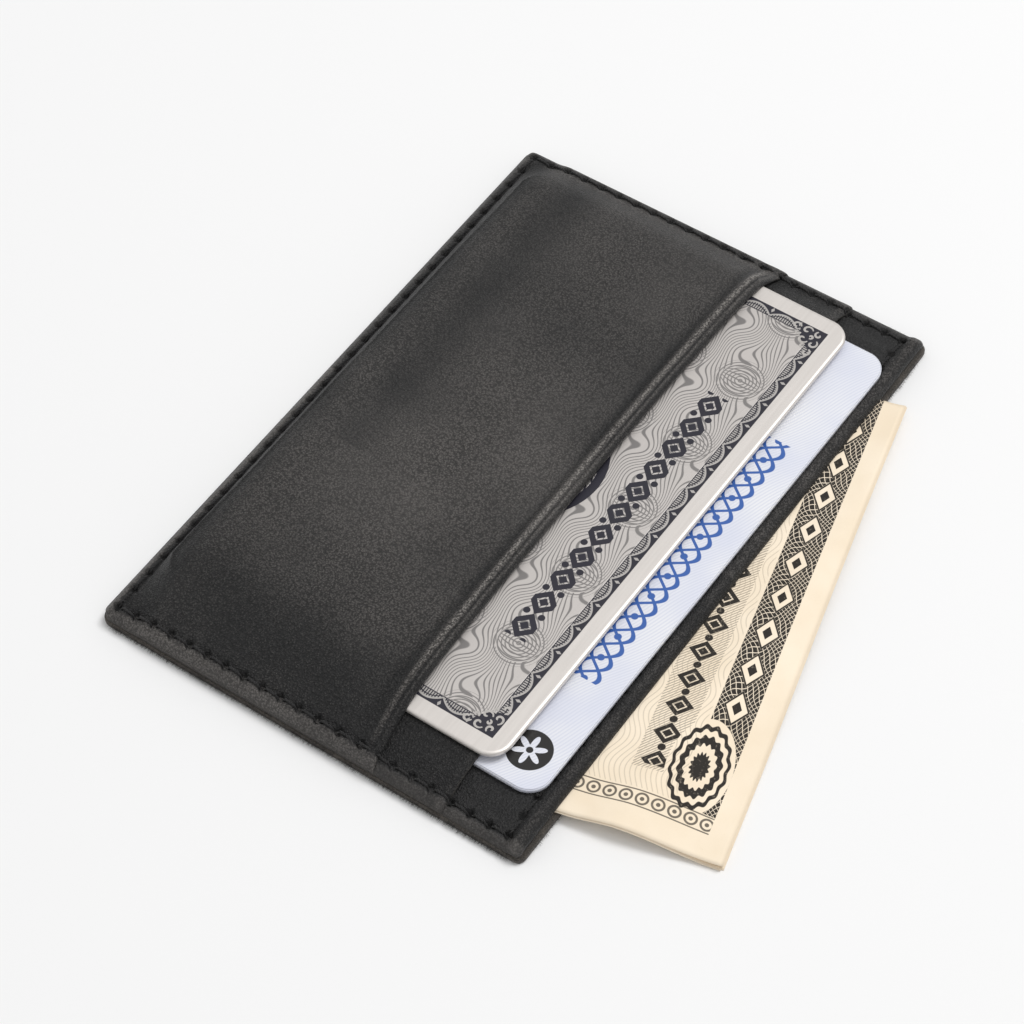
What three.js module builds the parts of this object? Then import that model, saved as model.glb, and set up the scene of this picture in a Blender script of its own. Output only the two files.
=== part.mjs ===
// Slim leather card holder, lying on its back with cards and a folded note in its pockets.
//
// Frame, in millimetres: +X runs along the long edges, +Y from the closed base edge to the open head
// edge, +Z up out of the front. The origin is the centre of the back panel's flat face.
//
// Four leather plies are stacked and sewn along the base and both sides: back panel, front panel,
// inner pocket and outer pocket. Back and front stay open at the head and hold the note, the inner
// pocket holds the identity card, and the outer pocket holds the metal card.

import * as THREE from "three";

const { clamp, degToRad, inverseLerp, lerp, smoothstep } = THREE.MathUtils;

// ---------------------------------------------------------------- driving dimensions

const WIDTH = 100.5; // side edge to side edge
const HEIGHT = 66.6; // base edge to the head edge of the front panel
const BACK_REACH = 0.8; // the back panel stands this far past the head edge of the front
const CORNER_RADIUS = 1.8;

const OUTER_MOUTH = 43.0; // height of each pocket mouth above the base edge
const INNER_MOUTH = 54.9;
const MOUTH_SWEEP = 1.3; // the outer mouth is this much higher at the seams than in the middle
const INNER_BASE = 8.0; // lower edge of the inner pocket

const SEAM_INSET = 1.95; // stitch row to side and base edges
const HEAD_ROW_INSET = 2.7; // stitch row to head edge
const BASE_ROW = 9.1; // stitch row that closes the inner pocket, above the base edge
const GROOVE_HALF_WIDTH = 0.65;
const STITCHES_ALONG = 30; // stitches between the two side rows
const STITCHES_UP = 21; // stitches along each side row

const PLY_GAP = 0.05; // between plies that are pressed together at a seam
const SLIDE_GAP = 0.1; // between a ply and what slides past it

const BACK_PLY = 1.3; // leather thickness, full and pared down in the seam
const FRONT_PLY = 0.9;
const FRONT_SEAM_PLY = 0.85;
const INNER_PLY = 0.7;
const INNER_SEAM_PLY = 0.6;
const OUTER_PLY = 0.9;
const OUTER_SEAM_PLY = 0.65;

const LIP_SWELL = 0.6; // extra thickness where the outer mouth is turned over
const LIP_PROFILE = [
  { behind: 0, swell: -0.6 }, // distance behind the mouth, and share of LIP_SWELL there
  { behind: 0.45, swell: 0.5 },
  { behind: 1.4, swell: 1 },
  { behind: 3.0, swell: 0.5 },
  { behind: 4.5, swell: -0.25 },
  { behind: 6.5, swell: 0 },
];

const SLOPE_START = 2.6; // insets between which the front and inner plies rise from the seam
const SLOPE_END = 5.6;
const OUTER_SLOPE = 3.4; // width of the outer pocket's slope at the sides
const OUTER_WALL = 0.95; // width of its wall at the base

const CARD = { length: 85.6, width: 53.98, radius: 3.18 };
const METAL_CARD_THICKNESS = 0.8;
const IDENTITY_CARD_THICKNESS = 0.76;
const NOTE = { length: 78, width: 33.15, thickness: 0.4 }; // folded twice, four sheets thick

const METAL_CARD_POSE = { x: -1.15, y: -2.1, turn: -0.5 }; // centre, and turn in degrees
const IDENTITY_CARD_POSE = { x: -0.3, y: 4.3, turn: -0.5 };
const NOTE_POSE = { x: 3.15, y: 29.6, turn: 13.3 };

// ---------------------------------------------------------------- heights in the stack

const HALF_WIDTH = WIDTH / 2;
const HALF_HEIGHT = HEIGHT / 2;

const noteFloor = BACK_PLY + SLIDE_GAP;
const frontCentre = noteFloor + NOTE.thickness + SLIDE_GAP; // underside of each ply over the contents
const identityFloor = frontCentre + FRONT_PLY + SLIDE_GAP;
const innerCentre = identityFloor + IDENTITY_CARD_THICKNESS + SLIDE_GAP;
const metalFloor = innerCentre + INNER_PLY + SLIDE_GAP;
const outerCentre = metalFloor + METAL_CARD_THICKNESS + SLIDE_GAP;

const frontSeam = BACK_PLY + PLY_GAP; // underside of each ply at the seams
const innerSeam = frontSeam + FRONT_SEAM_PLY + PLY_GAP;
const outerSeam = innerSeam + INNER_SEAM_PLY + PLY_GAP;

const EDGE_BEVEL = 0.55; // width of the worn edge of a ply
const EDGE_DROP = 0.3; // how far the worn edge falls away
const FRONT_GROOVE = 0.15; // depth of a stitch row's groove
const BACK_GROOVE = 0.35;

// Distances from the edges of the holder.
const sideInset = (x) => HALF_WIDTH - Math.abs(x);
const baseInset = (y) => y + HALF_HEIGHT;
const headInset = (y) => HALF_HEIGHT - y;
const fromBase = (height) => height - HALF_HEIGHT;

// 1 on a stitch row, falling to 0 at the groove's edges.
const onRow = (distance) => Math.max(0, 1 - Math.abs(distance) / GROOVE_HALF_WIDTH);

// 1 at an outer edge, falling to 0 across its bevel.
const atEdge = (inset) => Math.max(0, 1 - inset / EDGE_BEVEL);

// ---------------------------------------------------------------- sheets of leather

// Grid lines from low to high: exact insets near both ends, even steps between.
function gridLines(low, high, lowInsets, highInsets, middleCount) {
  const start = low + lowInsets.at(-1);
  const end = high - highInsets.at(-1);
  const lines = lowInsets.map((inset) => low + inset);
  for (let i = 1; i <= middleCount; i++) lines.push(lerp(start, end, i / (middleCount + 1)));
  for (const inset of highInsets.toReversed()) lines.push(high - inset);
  return lines;
}

const SEAM_LINES = [
  0,
  EDGE_BEVEL,
  SEAM_INSET - GROOVE_HALF_WIDTH,
  SEAM_INSET,
  SEAM_INSET + GROOVE_HALF_WIDTH,
];
const SHOULDER_LINES = [...SEAM_LINES, 3.6, 4.7, 6.2]; // the slopes beside the side seams
const COLUMNS = gridLines(-HALF_WIDTH, HALF_WIDTH, SHOULDER_LINES, SHOULDER_LINES, 3);

// Rounds the corners of the rectangle between low and high rows by bending the grid onto quarter discs.
function roundedCorners(lowRow, highRow) {
  return (x, y) => {
    const high = y > (lowRow + highRow) / 2;
    const cornerX = Math.sign(x) * (HALF_WIDTH - CORNER_RADIUS);
    const cornerY = high ? highRow - CORNER_RADIUS : lowRow + CORNER_RADIUS;
    const u = (x - cornerX) / CORNER_RADIUS;
    const v = (y - cornerY) / CORNER_RADIUS;
    if (u * Math.sign(x) <= 0 || v * (high ? 1 : -1) <= 0) return [x, y];
    return [
      cornerX + CORNER_RADIUS * u * Math.sqrt(1 - (v * v) / 2),
      cornerY + CORNER_RADIUS * v * Math.sqrt(1 - (u * u) / 2),
    ];
  };
}

// One closed sheet. underside(x, y) and upside(x, y) give its heights at each grid point, and
// place(x, y) says where that grid point lies.
function sheetGeometry(columns, rows, underside, upside, place) {
  const positions = [];
  for (const height of [underside, upside])
    for (const row of rows)
      for (const column of columns) {
        const [x, y] = place(column, row);
        positions.push(x, y, height(column, row));
      }

  const across = columns.length;
  const layer = across * rows.length;
  const index = [];
  const quad = (a, b, c, d) => index.push(a, b, c, a, c, d);
  for (let j = 0; j + 1 < rows.length; j++)
    for (let i = 0; i + 1 < across; i++) {
      const a = j * across + i;
      quad(a, a + across, a + across + 1, a + 1);
      quad(layer + a, layer + a + 1, layer + a + across + 1, layer + a + across);
    }

  // The rim, walked anticlockwise as seen from above.
  const rim = [];
  for (let i = 0; i + 1 < across; i++) rim.push(i);
  for (let j = 0; j + 1 < rows.length; j++) rim.push(j * across + across - 1);
  for (let i = across - 1; i > 0; i--) rim.push((rows.length - 1) * across + i);
  for (let j = rows.length - 1; j > 0; j--) rim.push(j * across);
  rim.forEach((a, i) => {
    const b = rim[(i + 1) % rim.length];
    quad(a, b, layer + b, layer + a);
  });

  const geometry = new THREE.BufferGeometry();
  geometry.setAttribute("position", new THREE.Float32BufferAttribute(positions, 3));
  geometry.setIndex(index);
  geometry.computeVertexNormals();
  return geometry;
}

// ---------------------------------------------------------------- the four plies

// Along the U of the seam, which runs up one side, along the base and up the other side.
const seamDistance = (x, y) => Math.min(sideInset(x), baseInset(y));

function backPanel() {
  const top = HALF_HEIGHT + BACK_REACH;
  const headLines = [0, EDGE_BEVEL, HEAD_ROW_INSET + BACK_REACH - 0.3, HEAD_ROW_INSET + BACK_REACH];
  const columns = gridLines(-HALF_WIDTH, HALF_WIDTH, SEAM_LINES, SEAM_LINES, 1);
  const rows = gridLines(-HALF_HEIGHT, top, SEAM_LINES, headLines, 1);
  const underside = (x, y) => {
    const sewn = headInset(y) >= HEAD_ROW_INSET - 1e-6;
    const groove = sewn ? onRow(seamDistance(x, y) - SEAM_INSET) : 0;
    const edge = Math.max(atEdge(seamDistance(x, y)), atEdge(top - y));
    return BACK_GROOVE * groove + EDGE_DROP * edge;
  };
  return sheetGeometry(columns, rows, underside, () => BACK_PLY, roundedCorners(-HALF_HEIGHT, top));
}

// How far the front panel stands off the back: 0 at the sides and base, 1 over the note pocket.
const frontRise = (x, y) =>
  smoothstep(sideInset(x), SLOPE_START, SLOPE_END) *
  smoothstep(baseInset(y), SLOPE_START, SLOPE_END);

function frontUnderside(x, y) {
  const headRow = sideInset(x) > SEAM_INSET ? onRow(headInset(y) - HEAD_ROW_INSET) : 0;
  const baseRow = sideInset(x) > SHOULDER_LINES.at(-2) ? onRow(baseInset(y) - BASE_ROW) : 0;
  const groove = 0.25 * Math.max(headRow, baseRow);
  return lerp(frontSeam, frontCentre, frontRise(x, y)) + groove;
}

function frontUpside(x, y) {
  const open = lerp(frontSeam + FRONT_SEAM_PLY, frontCentre + FRONT_PLY, frontRise(x, y));
  // The head edge is turned over, so it keeps its full height from side to side.
  const roll = 1 - smoothstep(headInset(y), HEAD_ROW_INSET - 0.9, HEAD_ROW_INSET);
  const rolled = lerp(open, frontCentre + FRONT_PLY, roll);
  const bare = baseInset(y) > INNER_MOUTH; // grooves only where no pocket lies on top
  const seamRow = bare && headInset(y) >= HEAD_ROW_INSET ? onRow(sideInset(x) - SEAM_INSET) : 0;
  const headRow = sideInset(x) >= SEAM_INSET ? onRow(headInset(y) - HEAD_ROW_INSET) : 0;
  const edge = Math.max(atEdge(seamDistance(x, y)), atEdge(headInset(y) * 0.5));
  return rolled - FRONT_GROOVE * Math.max(seamRow, 1.7 * headRow) - EDGE_DROP * edge * (bare ? 1 : 0);
}

function frontPanel() {
  const rowInset = HEAD_ROW_INSET;
  const headLines = [0, 0.45, 1.1, rowInset - 0.9, rowInset, rowInset + GROOVE_HALF_WIDTH, 6];
  const baseLines = [...SEAM_LINES, 4.4, 6.2, BASE_ROW - 0.7, BASE_ROW, BASE_ROW + 0.7];
  const rows = gridLines(-HALF_HEIGHT, HALF_HEIGHT, baseLines, headLines, 3);
  // Two lines hug the end of the inner pocket, where the seam groove begins.
  const mouth = fromBase(INNER_MOUTH);
  const split = rows.filter((row) => Math.abs(row - mouth) > 1).concat([mouth, mouth + 0.2]);
  split.sort((a, b) => a - b);
  const place = roundedCorners(-HALF_HEIGHT, HALF_HEIGHT);
  return sheetGeometry(COLUMNS, split, frontUnderside, frontUpside, place);
}

// The inner pocket rises over the identity card between the side seams and its own base row.
const innerRise = (x, y) =>
  smoothstep(sideInset(x), SLOPE_START, SLOPE_END) *
  smoothstep(baseInset(y), BASE_ROW + 0.2, BASE_ROW + 1.3);

// Between the side seams its lower margin lies flat on the front panel.
const innerMargin = (x) => {
  const rise = smoothstep(sideInset(x), SLOPE_START, SLOPE_END);
  return lerp(innerSeam, frontCentre + FRONT_PLY + PLY_GAP, rise);
};

function innerPocket() {
  const low = fromBase(INNER_BASE);
  const high = fromBase(INNER_MOUTH);
  const underside = (x, y) => lerp(innerMargin(x), innerCentre, innerRise(x, y));
  const upside = (x, y) => {
    const ply = lerp(INNER_SEAM_PLY, INNER_PLY, innerRise(x, y));
    const bare = baseInset(y) > OUTER_MOUTH + MOUTH_SWEEP;
    const groove = bare ? onRow(sideInset(x) - SEAM_INSET) : 0;
    const edge = Math.max(bare ? atEdge(sideInset(x)) : 0, 0.8 * atEdge(high - y));
    return underside(x, y) + ply - FRONT_GROOVE * groove - EDGE_DROP * edge;
  };
  const baseLines = [0, 0.6, 1.3, 2.4, 3.4];
  const rows = gridLines(low, high, baseLines, [0, EDGE_BEVEL, 2], 3);
  const bareFrom = fromBase(OUTER_MOUTH + MOUTH_SWEEP);
  const split = rows.filter((row) => Math.abs(row - bareFrom) > 1).concat([bareFrom, bareFrom + 0.2]);
  split.sort((a, b) => a - b);
  return sheetGeometry(COLUMNS, split, underside, upside, (x, y) => [x, y]);
}

// Where the inner pocket lies beneath it, the outer pocket's seam steps up by one ply.
const STEP_UP = [5.0, INNER_BASE - 0.2];
function outerSeamAt(y) {
  const share = clamp(inverseLerp(...STEP_UP, baseInset(y)), 0, 1);
  return lerp(innerSeam, outerSeam, share);
}

// Height gained over the metal card: a slope from each side seam and a steep wall at the base.
const outerRise = (x, y, slopeStart, wallStart) =>
  smoothstep(sideInset(x), slopeStart, slopeStart + OUTER_SLOPE) *
  smoothstep(baseInset(y), wallStart, wallStart + OUTER_WALL);

// The turned lip along the outer mouth: a full round edge, then a shallow valley behind it.
function lipSwell(toMouth) {
  const next = LIP_PROFILE.findIndex(({ behind }) => behind >= toMouth);
  if (next < 0) return 0;
  const after = LIP_PROFILE[next];
  const before = LIP_PROFILE[Math.max(next - 1, 0)];
  const share = next ? inverseLerp(before.behind, after.behind, toMouth) : 1;
  return LIP_SWELL * lerp(before.swell, after.swell, share);
}

function outerPocket() {
  const high = fromBase(OUTER_MOUTH);
  const underside = (x, y) => lerp(outerSeamAt(y), outerCentre, outerRise(x, y, 2.6, 2.75));
  const upside = (x, y) => {
    const rise = outerRise(x, y, 2.3, 2.6);
    const flat = lerp(outerSeamAt(y) + OUTER_SEAM_PLY, outerCentre + OUTER_PLY, rise);
    const swell = lipSwell(high - y);
    const lip = Math.min(swell, swell * rise); // pressed flat in the seams
    const groove = onRow(seamDistance(x, y) - SEAM_INSET);
    return flat + lip - FRONT_GROOVE * groove - EDGE_DROP * atEdge(seamDistance(x, y));
  };
  const baseLines = [...SEAM_LINES, 3.1, 3.7, ...STEP_UP, 12];
  const mouthLines = LIP_PROFILE.map(({ behind }) => behind);
  const rows = gridLines(-HALF_HEIGHT, high, baseLines, mouthLines, 2);
  const corners = roundedCorners(-HALF_HEIGHT, high + 10 * CORNER_RADIUS); // square at the mouth
  const place = (column, row) => {
    const [x, y] = corners(column, row);
    const sweep = MOUTH_SWEEP * Math.pow(Math.abs(x) / HALF_WIDTH, 3);
    return [x, y + sweep * smoothstep(row, 0, high)];
  };
  return sheetGeometry(COLUMNS, rows, underside, upside, place);
}

// ---------------------------------------------------------------- threads

// A run of stitches along straight legs: each stitch is a crown between two holes.
function stitchRun(corners, counts) {
  const points = [];
  counts.forEach((count, leg) => {
    const [from, to] = [corners[leg], corners[leg + 1]];
    for (let i = leg ? 1 : 0; i <= 2 * count; i++)
      points.push({
        x: lerp(from[0], to[0], i / (2 * count)),
        y: lerp(from[1], to[1], i / (2 * count)),
        crown: i % 2 === 1,
      });
  });
  return points;
}

// A thread along the points. shape(point) gives its half width and its lowest and highest z there.
function threadGeometry(points, shape) {
  const positions = [];
  points.forEach((point, i) => {
    const before = points[Math.max(i - 1, 0)];
    const after = points[Math.min(i + 1, points.length - 1)];
    const inward = new THREE.Vector2(point.x - before.x, point.y - before.y).normalize();
    const outward = new THREE.Vector2(after.x - point.x, after.y - point.y).normalize();
    const along = inward.clone().add(outward).normalize();
    const { half, low, high } = shape(point);
    const reach = half / Math.max(along.dot(outward), along.dot(inward));
    const [dx, dy] = [-along.y * reach, along.x * reach];
    positions.push(point.x + dx, point.y + dy, low, point.x - dx, point.y - dy, low);
    positions.push(point.x - dx, point.y - dy, high, point.x + dx, point.y + dy, high);
  });
  const index = [0, 1, 2, 0, 2, 3];
  for (let ring = 0; ring + 1 < points.length; ring++)
    for (let k = 0; k < 4; k++) {
      const a = ring * 4 + k;
      const b = ring * 4 + ((k + 1) % 4);
      index.push(a, a + 4, b + 4, a, b + 4, b);
    }
  const last = (points.length - 1) * 4;
  index.push(last, last + 2, last + 1, last, last + 3, last + 2);
  const geometry = new THREE.BufferGeometry();
  geometry.setAttribute("position", new THREE.Float32BufferAttribute(positions, 3));
  geometry.setIndex(index);
  geometry.computeVertexNormals();
  return geometry;
}

const rowX = HALF_WIDTH - SEAM_INSET;
const baseRowY = fromBase(SEAM_INSET);
const headRowY = HALF_HEIGHT - HEAD_ROW_INSET;
const seamCorners = [[-rowX, headRowY], [-rowX, baseRowY], [rowX, baseRowY], [rowX, headRowY]];
const THREAD_CLEARANCE = 0.08;
const STITCH_STEP = (headRowY - baseRowY) / STITCHES_UP / 2;

// Top of the leather on the side rows. A thread climbs a step one ring early, and stays on the upper
// ply until it is past its mouth.
function seamTop(y) {
  const height = baseInset(y);
  const swept = OUTER_MOUTH + MOUTH_SWEEP;
  if (height < swept + STITCH_STEP) return outerSeamAt(y + STITCH_STEP) + OUTER_SEAM_PLY;
  if (height < INNER_MOUTH + STITCH_STEP) return outerSeam - PLY_GAP;
  return innerSeam - PLY_GAP;
}

function seamNeedleThread() {
  const run = stitchRun(seamCorners, [STITCHES_UP, STITCHES_ALONG, STITCHES_UP]);
  return threadGeometry(run, ({ y, crown }) => {
    const leather = seamTop(y) + THREAD_CLEARANCE;
    const low = leather - FRONT_GROOVE / 2;
    return { half: crown ? 0.26 : 0.14, low, high: leather + (crown ? 0.16 : 0.02) };
  });
}

// The row along the head edge starts one clearance inside the side rows.
const headRowEnd = rowX - 0.8;
const headRowCorners = [[-headRowEnd, headRowY], [headRowEnd, headRowY]];

function headNeedleThread() {
  const run = stitchRun(headRowCorners, [STITCHES_ALONG]);
  return threadGeometry(run, ({ x, crown }) => {
    const leather = lerp(frontSeam + FRONT_SEAM_PLY, frontCentre + FRONT_PLY, frontRise(x, 0));
    const low = leather - 0.16;
    return { half: crown ? 0.24 : 0.13, low, high: low + (crown ? 0.17 : 0.05) };
  });
}

// The row that closes the inner pocket, hidden under the outer pocket.
const baseRowEnd = HALF_WIDTH - 7.5;
const baseRowCorners = [[-baseRowEnd, fromBase(BASE_ROW)], [baseRowEnd, fromBase(BASE_ROW)]];

function pocketNeedleThread() {
  const low = frontCentre + FRONT_PLY + PLY_GAP + INNER_SEAM_PLY + THREAD_CLEARANCE;
  return threadGeometry(stitchRun(baseRowCorners, [1]), () => ({ half: 0.25, low, high: low + 0.25 }));
}

// Bobbin threads lie in the groove on the far side of the leather, between these heights.
const underBack = [0.02, 0.19];
const underFront = [frontCentre + 0.01, frontCentre + 0.14];
const headBobbinCorners = [[-42, headRowY], [42, headRowY]];

function bobbinThread(corners, low, high) {
  const ends = corners.map(([x, y]) => ({ x, y }));
  return threadGeometry(ends, () => ({ half: 0.22, low, high }));
}

// ---------------------------------------------------------------- what the pockets hold

function cardGeometry({ length, width, radius }, thickness) {
  const [x, y] = [length / 2, width / 2];
  const outline = new THREE.Shape();
  outline.absarc(x - radius, y - radius, radius, 0, Math.PI / 2);
  outline.absarc(radius - x, y - radius, radius, Math.PI / 2, Math.PI);
  outline.absarc(radius - x, radius - y, radius, Math.PI, 1.5 * Math.PI);
  outline.absarc(x - radius, radius - y, radius, 1.5 * Math.PI, 2 * Math.PI);
  const settings = { depth: thickness, bevelEnabled: false, curveSegments: 6 };
  return new THREE.ExtrudeGeometry(outline, settings);
}

function noteGeometry() {
  const slab = new THREE.BoxGeometry(NOTE.length, NOTE.width, NOTE.thickness);
  return slab.translate(0, 0, NOTE.thickness / 2);
}

// ---------------------------------------------------------------- assembly

const leather = (name) =>
  new THREE.MeshStandardMaterial({ name, color: 0x383635, roughness: 0.55 });
const thread = new THREE.MeshStandardMaterial({
  name: "thread",
  color: 0x141414,
  roughness: 0.7,
});
const steel = new THREE.MeshStandardMaterial({
  name: "card_metal",
  color: 0xbdb6ad,
  metalness: 0.8,
  roughness: 0.35,
});
const plastic = new THREE.MeshStandardMaterial({
  name: "card_plastic",
  color: 0xdfe3ee,
  roughness: 0.3,
});
const paper = new THREE.MeshStandardMaterial({
  name: "note_paper",
  color: 0xeadbbb,
  roughness: 0.85,
});

function named(name, geometry, material) {
  const mesh = new THREE.Mesh(geometry, material);
  mesh.name = name;
  return mesh;
}

function slid(mesh, { x, y, turn }, z) {
  mesh.position.set(x, y, z);
  mesh.rotation.z = degToRad(turn);
  return mesh;
}

const holder = new THREE.Group();
holder.add(
  named("back_panel", backPanel(), leather("back_leather")),
  named("front_panel", frontPanel(), leather("front_leather")),
  named("inner_pocket", innerPocket(), leather("inner_leather")),
  named("outer_pocket", outerPocket(), leather("outer_leather")),
  named("seam_needle_thread", seamNeedleThread(), thread),
  named("seam_bobbin_thread", bobbinThread(seamCorners, ...underBack), thread),
  named("head_needle_thread", headNeedleThread(), thread),
  named("head_bobbin_thread", bobbinThread(headBobbinCorners, ...underFront), thread),
  named("pocket_needle_thread", pocketNeedleThread(), thread),
  named("pocket_bobbin_thread", bobbinThread(baseRowCorners, ...underFront), thread),
);

const metalCard = named("metal_card", cardGeometry(CARD, METAL_CARD_THICKNESS), steel);
const identityCard = named("identity_card", cardGeometry(CARD, IDENTITY_CARD_THICKNESS), plastic);
const foldedNote = named("folded_note", noteGeometry(), paper);

const contents = new THREE.Group();
contents.add(
  slid(metalCard, METAL_CARD_POSE, metalFloor),
  slid(identityCard, IDENTITY_CARD_POSE, identityFloor),
  slid(foldedNote, NOTE_POSE, noteFloor),
);

const cardHolder = new THREE.Group();
cardHolder.add(holder, contents);

export default cardHolder;
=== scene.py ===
"""Looks of a slim leather card holder with cards and a folded note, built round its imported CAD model.

Lengths in this script are millimetres in the CAD's own frame: +X along the pocket mouths, +Y from the
closed base to the open head, +Z out of the front. mesh_object() turns them into metres.
"""

import math

import bpy
import numpy as np
from mathutils import Matrix, Vector


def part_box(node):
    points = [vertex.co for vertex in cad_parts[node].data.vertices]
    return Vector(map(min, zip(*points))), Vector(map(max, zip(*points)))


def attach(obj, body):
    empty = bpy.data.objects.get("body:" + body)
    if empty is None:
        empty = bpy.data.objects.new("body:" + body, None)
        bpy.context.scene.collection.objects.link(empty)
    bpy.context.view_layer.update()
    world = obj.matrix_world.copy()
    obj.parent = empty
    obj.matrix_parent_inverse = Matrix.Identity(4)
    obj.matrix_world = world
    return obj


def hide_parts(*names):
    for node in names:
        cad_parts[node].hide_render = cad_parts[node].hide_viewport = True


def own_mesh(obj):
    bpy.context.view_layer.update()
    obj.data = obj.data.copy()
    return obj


MM = 0.001

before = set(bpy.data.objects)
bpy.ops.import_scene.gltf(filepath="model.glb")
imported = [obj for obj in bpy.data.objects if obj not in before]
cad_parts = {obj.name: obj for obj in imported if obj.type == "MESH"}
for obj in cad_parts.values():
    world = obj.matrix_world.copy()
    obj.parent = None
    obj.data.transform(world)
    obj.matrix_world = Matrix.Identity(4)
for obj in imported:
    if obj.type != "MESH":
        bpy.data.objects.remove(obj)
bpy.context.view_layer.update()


# ---------------------------------------------------------------- sizes taken from the CAD

def box_mm(node):
    low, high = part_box(node)
    return np.array(low) / MM, np.array(high) / MM


_, back_high = box_mm("back_panel")
front_low, front_high = box_mm("front_panel")
inner_low, inner_high = box_mm("inner_pocket")
_, outer_high = box_mm("outer_pocket")
metal_low, metal_high = box_mm("metal_card")
identity_low, identity_high = box_mm("identity_card")
note_low, note_high = box_mm("folded_note")

HALF_WIDTH = front_high[0]
BASE = front_low[1]
HEAD = front_high[1]
BACK_TOP = back_high[2]
BACK_HEAD = back_high[1] - 0.4  # the back ply is drawn in a little from its CAD box here
MOUTH_SWEEP = 1.3  # the outer mouth is this much higher at the seams than in the middle
OUTER_MOUTH = outer_high[1] - MOUTH_SWEEP
INNER_MOUTH = inner_high[1]
BASE_CORNER = 1.7
HEAD_CORNER = 0.9
PLY_INSET = 0.18  # the front plies end this far inside the back ply
ROLL = 0.75  # radius of the burnished outer margin

HOLE = 0.80  # reach of a stitch hole, with its worn mouth
SEAM_INSET = 1.95  # stitch rows
HEAD_ROW_INSET = 2.7
ROW_X = HALF_WIDTH - SEAM_INSET
ROW_BASE = BASE + SEAM_INSET
ROW_HEAD = HEAD - HEAD_ROW_INSET
STITCHES_ALONG = 30
STITCHES_UP = 21
PITCH_ALONG = 2 * ROW_X / STITCHES_ALONG
PITCH_UP = (ROW_HEAD - ROW_BASE) / STITCHES_UP

PLY_GAP = 0.05
CLEARANCE = 0.1
CARD_AIR = 0.03  # least gap between a card's underside and the ply below it
FRONT_PLY = 0.9
FRONT_SEAM_PLY = 0.85
INNER_PLY = 0.7
INNER_SEAM_PLY = 0.6
OUTER_PLY = 0.9
OUTER_SEAM_PLY = 0.65

FRONT_SEAM = BACK_TOP + PLY_GAP  # underside of each ply at the seams
INNER_SEAM = FRONT_SEAM + FRONT_SEAM_PLY + PLY_GAP
OUTER_SEAM = INNER_SEAM + INNER_SEAM_PLY + PLY_GAP
FRONT_OPEN = note_high[2] + CLEARANCE  # underside of each ply over what it holds
INNER_OPEN = identity_high[2] + CLEARANCE
OUTER_OPEN = metal_high[2] + CLEARANCE / 2
LIP_TOP = outer_high[2]

CARD_SIZE = (85.6, 53.98)
CARD_RADIUS = 3.18
CARD_TURN = math.radians(-0.5)
NOTE_SIZE = (78.0, 33.15)
NOTE_TURN = math.radians(13.3)

metal_centre = (metal_low + metal_high) / 2
identity_centre = (identity_low + identity_high) / 2
note_centre = (note_low + note_high) / 2


# ---------------------------------------------------------------- small helpers

def smooth(t):
    t = np.clip(t, 0, 1)
    return t * t * (3 - 2 * t)


def between(value, low, high):
    """0 below low, 1 above high, smooth in between."""
    return smooth((value - low) / (high - low))


def bell(value, width):
    return np.exp(-((value / width) ** 2))


def soft_min(a, b, softness):
    return -softness * np.log(np.exp(-a / softness) + np.exp(-b / softness))


def value_noise(x, y, size, seed):
    """Smooth random heights from -1 to 1, with features about size mm across."""
    table = np.random.default_rng(seed).uniform(-1, 1, (64, 64))
    u, v = x / size + 1000, y / size + 1000
    i, j = np.floor(u).astype(int), np.floor(v).astype(int)
    s, t = smooth(u - i), smooth(v - j)
    i0, i1, j0, j1 = i % 64, (i + 1) % 64, j % 64, (j + 1) % 64
    low = table[j0, i0] * (1 - s) + table[j0, i1] * s
    high = table[j1, i0] * (1 - s) + table[j1, i1] * s
    return low * (1 - t) + high * t


def card_outside(centre, x, y):
    """Distance from a card's rounded outline, negative inside it."""
    dx, dy = x - centre[0], y - centre[1]
    c, s = math.cos(CARD_TURN), math.sin(CARD_TURN)
    u, v = np.abs(dx * c + dy * s), np.abs(dy * c - dx * s)
    qx = u - CARD_SIZE[0] / 2 + CARD_RADIUS
    qy = v - CARD_SIZE[1] / 2 + CARD_RADIUS
    far = np.hypot(np.maximum(qx, 0), np.maximum(qy, 0))
    return far + np.minimum(np.maximum(qx, qy), 0) - CARD_RADIUS


def mesh_object(name, vertices, faces, material, body, origin=(0, 0, 0), turn=0.0, flat=False):
    """A mesh piece from millimetres, riding on a CAD body, placed at origin and turned about Z."""
    mesh = bpy.data.meshes.new(name)
    mesh.from_pydata((np.asarray(vertices, float) * MM).tolist(), [], faces)
    mesh.polygons.foreach_set("use_smooth", [not flat] * len(mesh.polygons))
    mesh.materials.append(material)
    mesh.validate()
    piece = bpy.data.objects.new(name, mesh)
    piece.location = Vector(origin) * MM
    piece.rotation_euler = (0, 0, turn)
    bpy.context.scene.collection.objects.link(piece)
    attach(piece, body)
    return piece


def tube_faces(rings, sides):
    """Faces of a closed tube through rings of points, each the same number of sides."""
    faces = [list(range(sides))[::-1]]
    for k in range(rings - 1):
        for i in range(sides):
            a, b = k * sides + i, k * sides + (i + 1) % sides
            faces.append([a, b, b + sides, a + sides])
    last = (rings - 1) * sides
    faces.append([last + i for i in range(sides)])
    return faces


def joined(parts):
    """One mesh from several, each given as points and faces."""
    points, faces, count = [], [], 0
    for part_points, part_faces in parts:
        points.append(np.asarray(part_points, float))
        faces += [[count + k for k in face] for face in part_faces]
        count += len(part_points)
    return np.concatenate(points), faces


def give_attribute(piece, name, values):
    attribute = piece.data.attributes.new(name, "FLOAT", "POINT")
    attribute.data.foreach_set("value", np.asarray(values, np.float32).ravel())


# ---------------------------------------------------------------- materials

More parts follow.
